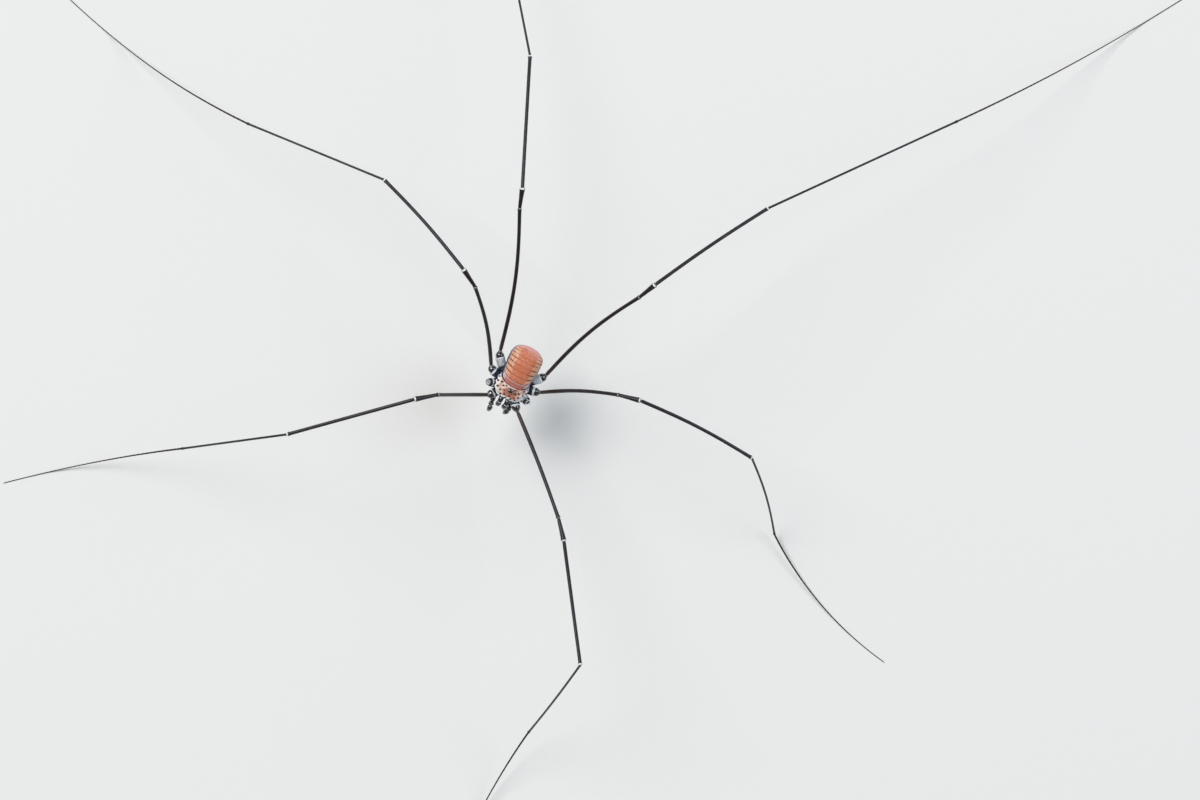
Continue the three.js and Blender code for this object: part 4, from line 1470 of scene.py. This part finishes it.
def tarsus_line(start, pitch, turn, shares, radius_at):
    """A line that sinks to the floor as it turns, and lies along it at its end."""
    first, second, length = turn
    reach = length * (1 - FLAT_SHARE)
    rest = radius_at(1 - FLAT_SHARE)
    drop = start.z - rest
    slope = max(math.sin(math.radians(pitch)) * reach, -STEEPEST * drop)

    def height(t):
        u = min(t / (1 - FLAT_SHARE), 1)
        fall = drop * (2 * u**3 - 3 * u**2 + 1) + slope * (u**3 - 2 * u**2 + u)
        return fall + rest + (radius_at(t) - rest) * (u >= 1)

    points = [start.copy()]
    for before, t in zip(shares, shares[1:]):
        fall = height(t) - height(before)
        heading = first + (second - first) * (before + t) / 2
        flat = math.sqrt(max((length * (t - before)) ** 2 - fall**2, 0))
        points.append(points[-1] + direction(heading, 0) * flat + UP * fall)
    return points


def stations(count, evenness=0.35):
    """Shares from 0 to 1, closer together at both ends."""
    even = [i / (count - 1) for i in range(count)]
    crowded = [0.5 - 0.5 * math.cos(math.pi * t) for t in even]
    return [evenness * t + (1 - evenness) * u for t, u in zip(even, crowded)]


def segment_rows(name, length):
    """A segment's outline as rows of share of the length, thickness and paleness."""
    root, middle, end = OUTLINES[name]
    rows = [(place / length, *rest) for place, *rest in root]
    return rows + middle + [(1 - place / length, *rest) for place, *rest in end]


def outline_at(rows, t):
    """Thickness and paleness at a share of the length."""
    for low, high in zip(rows, rows[1:]):
        if t <= high[0]:
            share = (t - low[0]) / (high[0] - low[0])
            eased = share * share * (3 - 2 * share)
            return [low[k] + (high[k] - low[k]) * eased for k in (1, 2)]
    return rows[-1][1:]


class HARVESTMAN_OT_legs(bpy.types.Operator):
    """Six legs: femur, patella, tibia, metatarsus and the many-jointed tarsus with its claw"""

    bl_idname = "harvestman.legs"
    bl_label = "Legs"
    SIDES = 16
    TARSUS_SIDES = 12
    RING_GAP = 0.02
    # The femur is warmer brown over this length from its root.
    ROOT_LENGTH = 1.6
    # A tarsus thins to this share just before its tip, along this curve, and its last ring is
    # this much thinner. Its middle line lies this many radii over the floor.
    TIP_SHARE = 0.42
    TIP_HASTE = 1.15
    TIP_CURVE = 0.8
    TIP_END = 0.7
    FLOOR_GAP = 1.12
    # Rings of one small joint of a tarsus: share of its length, thickness, and seam.
    JOINT = [
        (0.0, 0.86, 1.0), (0.12, 1.0, 0.2), (0.55, 1.02, 0.0), (0.85, 1.1, 0.0), (0.97, 1.04, 0.5),
    ]
    # The joints get this much shorter towards the tip.
    JOINT_LOSS = 0.45
    # The claw, in radii of the tip: how far ahead of it and above it, and its radii.
    CLAW = [(-1, 0), (2, 0.8), (4.2, -0.4)]
    CLAW_ROOT = 0.5
    CLAW_THINNING = 0.055
    CLAW_RINGS = 8
    CLAW_SIDES = 6

    def segment(self, name, start, end, heading, bow, thickness):
        length = (end - start).length
        rows = segment_rows(name, length)
        shares = [row[0] for row in rows]
        for t in stations(SEGMENT_RINGS[name]):
            if min(abs(t - other) for other in shares) * length > self.RING_GAP:
                shares.append(t)
        shares.sort()
        sideways = direction(heading + 90, 0)
        line = []
        for t in shares:
            off = math.sin(math.pi * t)
            line.append(start.lerp(end, t) + sideways * bow[0] * off + UP * (bow[1] * off))
        sizes, pale = zip(*(outline_at(rows, t) for t in shares))
        radii = [thickness / 2 * s for s in sizes]
        warm = [max(0.0, 1 - t * length / self.ROOT_LENGTH) * (name == "femur") for t in shares]
        shape = Shape("pale", "root")
        shape.tube(line, radii, self.SIDES, upper="pale", pale=pale, root=warm)
        return shape

    def claw(self, shape, end, ahead, tip):
        """A small claw, measured by the radius of the tip that it stands on."""
        points = [end + ahead * tip * off + UP * (tip * height) for off, height in self.CLAW]
        steps = range(self.CLAW_RINGS)
        radii = [tip * (self.CLAW_ROOT - self.CLAW_THINNING * i) for i in steps]
        shape.tube(smooth_line(points, self.CLAW_RINGS), radii, self.CLAW_SIDES)

    def tarsus(self, start, pitch, turn, thickness, joint):
        length = turn[2]

        def radius_at(t):
            way = min(1, t * self.TIP_HASTE) ** self.TIP_CURVE
            return thickness / 2 * (1 - (1 - self.TIP_SHARE) * way)

        rings = []
        t = 0.0
        while t < 1:
            step = joint / length * (1 - self.JOINT_LOSS * t)
            places = [(t + share * step, size, seam) for share, size, seam in self.JOINT]
            rings += [row for row in places if row[0] < 1]
            t += step
        rings.append((1.0, self.TIP_END, 0.0))
        shares = [row[0] for row in rings]
        radii = [radius_at(share) * size for share, size, _ in rings]
        line = tarsus_line(start, pitch, turn, shares, lambda t: radius_at(t) * self.FLOOR_GAP)
        shape = Shape("seam")
        shape.tube(line, radii, self.TARSUS_SIDES, seam=[row[2] for row in rings])
        self.claw(shape, line[-1], (line[-1] - line[-2]).normalized(), radius_at(1))
        return shape

    def execute(self, context):
        settings = context.scene.harvestman_legs
        joint_length = settings.tarsus_joint / MM
        still = Matrix()
        for leg, (*segments, turn) in LEGS.items():
            start = BODY_PLACE @ femur_start(leg)
            for name, length, row in zip(SEGMENTS, LENGTHS[int(leg[-1])], segments):
                heading, pitch, *bow = row
                end = start + direction(heading, pitch) * length
                thickness = getattr(settings, f"{name}_thickness") / MM
                shape = self.segment(name, start, end, heading, bow, thickness)
                node = f"{name}_{leg}"
                shape.lay(f"{node}_shell", "leg shell", "leg", node, matrix=still)
                start = end
            shape = self.tarsus(start, pitch, turn, settings.tarsus_thickness / MM, joint_length)
            node = f"tarsus_{leg}"
            shape.lay(f"{node}_shell", "tarsus shell", "tarsus", node, matrix=still)
        return {"FINISHED"}


class Tree(Nodes):
    """A Geometry Nodes tree with named inputs."""

    def __init__(self, name, inputs):
        self.tree = bpy.data.node_groups.new(name, "GeometryNodeTree")
        super().__init__(self.tree)
        for label, kind in inputs.items():
            self.socket(label, "INPUT", kind)
        self.socket("Geometry", "OUTPUT", "Geometry")
        self.given = self.nodes.new("NodeGroupInput").outputs
        self.output = self.nodes.new("NodeGroupOutput")

    def socket(self, label, way, kind):
        self.tree.interface.new_socket(label, in_out=way, socket_type=f"NodeSocket{kind}")

    def node(self, kind, settings, *values, out=0, **named):
        return self.add(kind, settings, values, named).outputs[out]

    def run(self, host, name, **values):
        """Runs the tree on an object and gives the result as a new plain object."""
        modifier = host.modifiers.new(self.tree.name, "NODES")
        modifier.node_group = self.tree
        for item in self.tree.interface.items_tree:
            if item.item_type == "SOCKET" and item.in_out == "INPUT" and item.name in values:
                modifier[item.identifier] = values[item.name]
        host.update_tag()
        bpy.context.view_layer.update()
        graph = bpy.context.evaluated_depsgraph_get()
        mesh = bpy.data.meshes.new_from_object(host.evaluated_get(graph), depsgraph=graph)
        host.modifiers.remove(modifier)
        mesh.name = name
        piece = bpy.data.objects.new(name, mesh)
        bpy.context.scene.collection.objects.link(piece)
        return piece


def bristle_tree():
    """Short spikes that grow from a surface and lean along its lie."""
    floats = {name: "Float" for name in ("Density", "Length", "Thickness", "Lean", "Lowest")}
    inputs = {"Geometry": "Geometry", **floats, "Seed": "Int", "Material": "Material"}
    tree = Tree("Bristles", inputs)
    given = tree.given
    normal = tree.node("GeometryNodeInputNormal", {})
    facing = tree.node("ShaderNodeSeparateXYZ", {}, normal, out=2)
    above = tree.node("FunctionNodeCompare", {"operation": "GREATER_THAN"}, facing, given["Lowest"])
    points = tree.node(
        "GeometryNodeDistributePointsOnFaces", {}, Mesh=given["Geometry"], Selection=above,
        Density=given["Density"], Seed=given["Seed"],
    )
    lie = tree.node("GeometryNodeInputNamedAttribute", {"data_type": "FLOAT_VECTOR"}, Name="lie")
    leaning = tree.node("ShaderNodeVectorMath", {"operation": "SCALE"}, lie, Scale=given["Lean"])
    outwards = points.node.outputs["Normal"]
    aim = tree.node("ShaderNodeVectorMath", {"operation": "ADD"}, outwards, leaning)
    turn = tree.node("FunctionNodeAlignRotationToVector", {"axis": "Z"}, Vector=aim)
    spike = tree.node(
        "GeometryNodeMeshCone", {"fill_type": "NONE"}, Vertices=4, Radius_Top=0.0,
        Radius_Bottom=given["Thickness"], Depth=given["Length"],
    )
    # The node's own float range comes after that of its vectors.
    size = tree.node(
        "FunctionNodeRandomValue", {"data_type": "FLOAT"}, None, None, 0.45, 1.0, out=1,
        Seed=given["Seed"],
    )
    placed = tree.node(
        "GeometryNodeInstanceOnPoints", {}, Points=points, Instance=spike, Rotation=turn, Scale=size,
    )
    real = tree.node("GeometryNodeRealizeInstances", {}, Geometry=placed)
    painted = tree.node("GeometryNodeSetMaterial", {}, Geometry=real, Material=given["Material"])
    tree.plug(tree.output.inputs[0], painted)
    return tree


class HARVESTMAN_OT_bristles(bpy.types.Operator):
    """Short bristles on the legs, feelers, jaws and back"""

    bl_idname = "harvestman.bristles"
    bl_label = "Bristles"
    # Density and length as shares of the settings, lean along the limb, and the lowest way to face.
    ON_LEG = {
        "femur": (0.7, 0.75, 1.6, -1.0),
        "patella": (0.9, 0.75, 1.4, -1.0),
        "tibia": (1.0, 0.8, 1.8, -1.0),
        "metatarsus": (1.5, 0.7, 2.2, -1.0),
        "tarsus": (3.0, 0.62, 2.0, 0.0),
    }
    ON_JAW = (0.7, 0.8, 0.9, -1.0)
    ON_COXAE = (0.5, 0.7, 0.8, -1.0)
    ON_FEELER = (1.4, 0.8, 1.2, -1.0)
    OTHERS = {
        "jaw_left": ON_JAW, "jaw_right": ON_JAW,
        "back_plates": (0.22, 0.5, 1.2, 0.0), "head_shield": (0.2, 0.5, -0.8, 0.0),
        "coxae_left": ON_COXAE, "coxae_right": ON_COXAE,
    }

    def execute(self, context):
        settings = context.scene.harvestman_bristles
        tree = bristle_tree()
        rows = []
        for leg in LEGS:
            for name, growth in self.ON_LEG.items():
                slot = "tarsus" if name == "tarsus" else "leg"
                rows.append((f"{name}_{leg}_shell", f"{name}_{leg}", growth, slot))
        rows += [(name, name, growth, "jaw") for name, growth in self.OTHERS.items()]
        feelers = [f"feeler_{side}_{segment}" for side in SIDES for segment in FEELER]
        rows += [(name, name, self.ON_FEELER, "jaw") for name in feelers]
        for seed, (host, name, growth, slot) in enumerate(rows, settings.seed + 1):
            density, length, lean, lowest = growth
            piece = tree.run(
                bpy.data.objects[host], f"bristles_{name}", Seed=seed, Lean=lean, Lowest=lowest,
                Density=settings.per_square_mm * density / MM**2, Length=settings.length * length,
                Thickness=settings.thickness / 2, Material=finish("bristles"),
            )
            keep(piece, slot)
        return {"FINISHED"}


class HARVESTMAN_OT_stage(bpy.types.Operator):
    """Pale floor, soft light and the camera"""

    bl_idname = "harvestman.stage"
    bl_label = "Stage"
    # Where the body is in the photograph, in pixels.
    BODY_PIXEL = (520.3, 373.0)
    FLOOR_SIZE = 6.0
    SENSOR_MM = 36.0
    NEAREST = 0.01
    FARTHEST = 20
    # Each light's place from the body, right, up the picture and above it, and its colour.
    LIGHTS = {
        "key": ((-0.6, 0.6, 1.15), (1.0, 0.98, 0.95)),
        "fill": ((1.05, 0.3, 0.95), (0.8, 0.9, 1.0)),
    }
    LIGHT_SIZE = 0.72
    SKY = (0.8, 0.86, 0.95, 1)
    SKY_STRENGTH = 0.28

    def add(self, name, data, place, rotation=(0, 0, 0)):
        holder = bpy.data.objects.new(name, data)
        holder.location = place
        holder.rotation_euler = rotation
        bpy.context.scene.collection.objects.link(holder)
        return holder

    def camera(self, settings, turn):
        pixel = settings.frame_width / PHOTO[0]
        off = [(PHOTO[k] / 2 - self.BODY_PIXEL[k]) * pixel for k in range(2)]
        target = LEG_CENTRE * MM + turn @ Vector((off[0], -off[1], 0))
        eye = Vector((target.x, target.y, BODY_CENTRE.z * MM + settings.camera_height))
        lens = bpy.data.cameras.new("camera")
        lens.sensor_width = self.SENSOR_MM
        lens.lens = self.SENSOR_MM * settings.camera_height / settings.frame_width
        lens.clip_start = self.NEAREST
        lens.clip_end = self.FARTHEST
        return self.add("camera", lens, eye, (0, 0, settings.camera_turn))

    def light(self, name, body, turn, power):
        place, tint = self.LIGHTS[name]
        lamp = bpy.data.lights.new(name, "AREA")
        lamp.energy = power
        lamp.size = self.LIGHT_SIZE
        lamp.color = tint
        off = turn @ Vector(place)
        self.add(name, lamp, body + off, (-off).to_track_quat("-Z", "Y").to_euler())

    def execute(self, context):
        settings = context.scene.harvestman_stage
        mesh = bpy.data.meshes.new("floor")
        half = self.FLOOR_SIZE / 2
        corners = [(-half, -half, 0), (half, -half, 0), (half, half, 0), (-half, half, 0)]
        mesh.from_pydata(corners, [], [(0, 1, 2, 3)])
        mesh.materials.append(finish("floor"))
        self.add("floor", mesh, (0, 0, 0))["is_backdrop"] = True

        turn = Matrix.Rotation(settings.camera_turn, 3, "Z")
        context.scene.camera = self.camera(settings, turn)
        body = BODY_PLACE.translation * MM
        for name in self.LIGHTS:
            self.light(name, body, turn, getattr(settings, f"{name}_power"))
        world = bpy.data.worlds.new("studio")
        world.use_nodes = True
        sky = world.node_tree.nodes["Background"].inputs
        sky["Color"].default_value = self.SKY
        sky["Strength"].default_value = self.SKY_STRENGTH
        context.scene.world = world
        context.scene.view_settings.view_transform = "Standard"
        return {"FINISHED"}


OPERATORS = [
    HARVESTMAN_OT_skin, HARVESTMAN_OT_shield, HARVESTMAN_OT_back, HARVESTMAN_OT_belly,
    HARVESTMAN_OT_coxae, HARVESTMAN_OT_hips, HARVESTMAN_OT_eyes, HARVESTMAN_OT_mouthparts,
    HARVESTMAN_OT_legs, HARVESTMAN_OT_bristles, HARVESTMAN_OT_stage,
]


class HARVESTMAN_PT_panel(bpy.types.Panel):
    """Buttons and settings of the harvestman"""

    bl_idname = "HARVESTMAN_PT_panel"
    bl_label = "Harvestman"
    bl_space_type = "VIEW_3D"
    bl_region_type = "UI"
    bl_category = "Harvestman"

    def draw(self, context):
        for group, kind in GROUPS.items():
            box = self.layout.box()
            for name in kind.__annotations__:
                box.prop(getattr(context.scene, group), name)
        for operator in OPERATORS:
            self.layout.operator(operator.bl_idname)


def register():
    for kind in [*GROUPS.values(), *OPERATORS, HARVESTMAN_PT_panel]:
        bpy.utils.register_class(kind)
    for name, kind in GROUPS.items():
        setattr(bpy.types.Scene, name, PointerProperty(type=kind))


def unregister():
    for name in GROUPS:
        delattr(bpy.types.Scene, name)
    for kind in [HARVESTMAN_PT_panel, *reversed(OPERATORS), *GROUPS.values()]:
        bpy.utils.unregister_class(kind)


def corners(box):
    return [[float(c) for c in corner] for corner in box]


def main():
    register()
    for operator in OPERATORS:
        call = bpy.ops
        for part in operator.bl_idname.split("."):
            call = getattr(call, part)
        call()
    {"cad": corners(CAD_BOX), "visual": corners(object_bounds())}


if __name__ == "__main__":
    main()
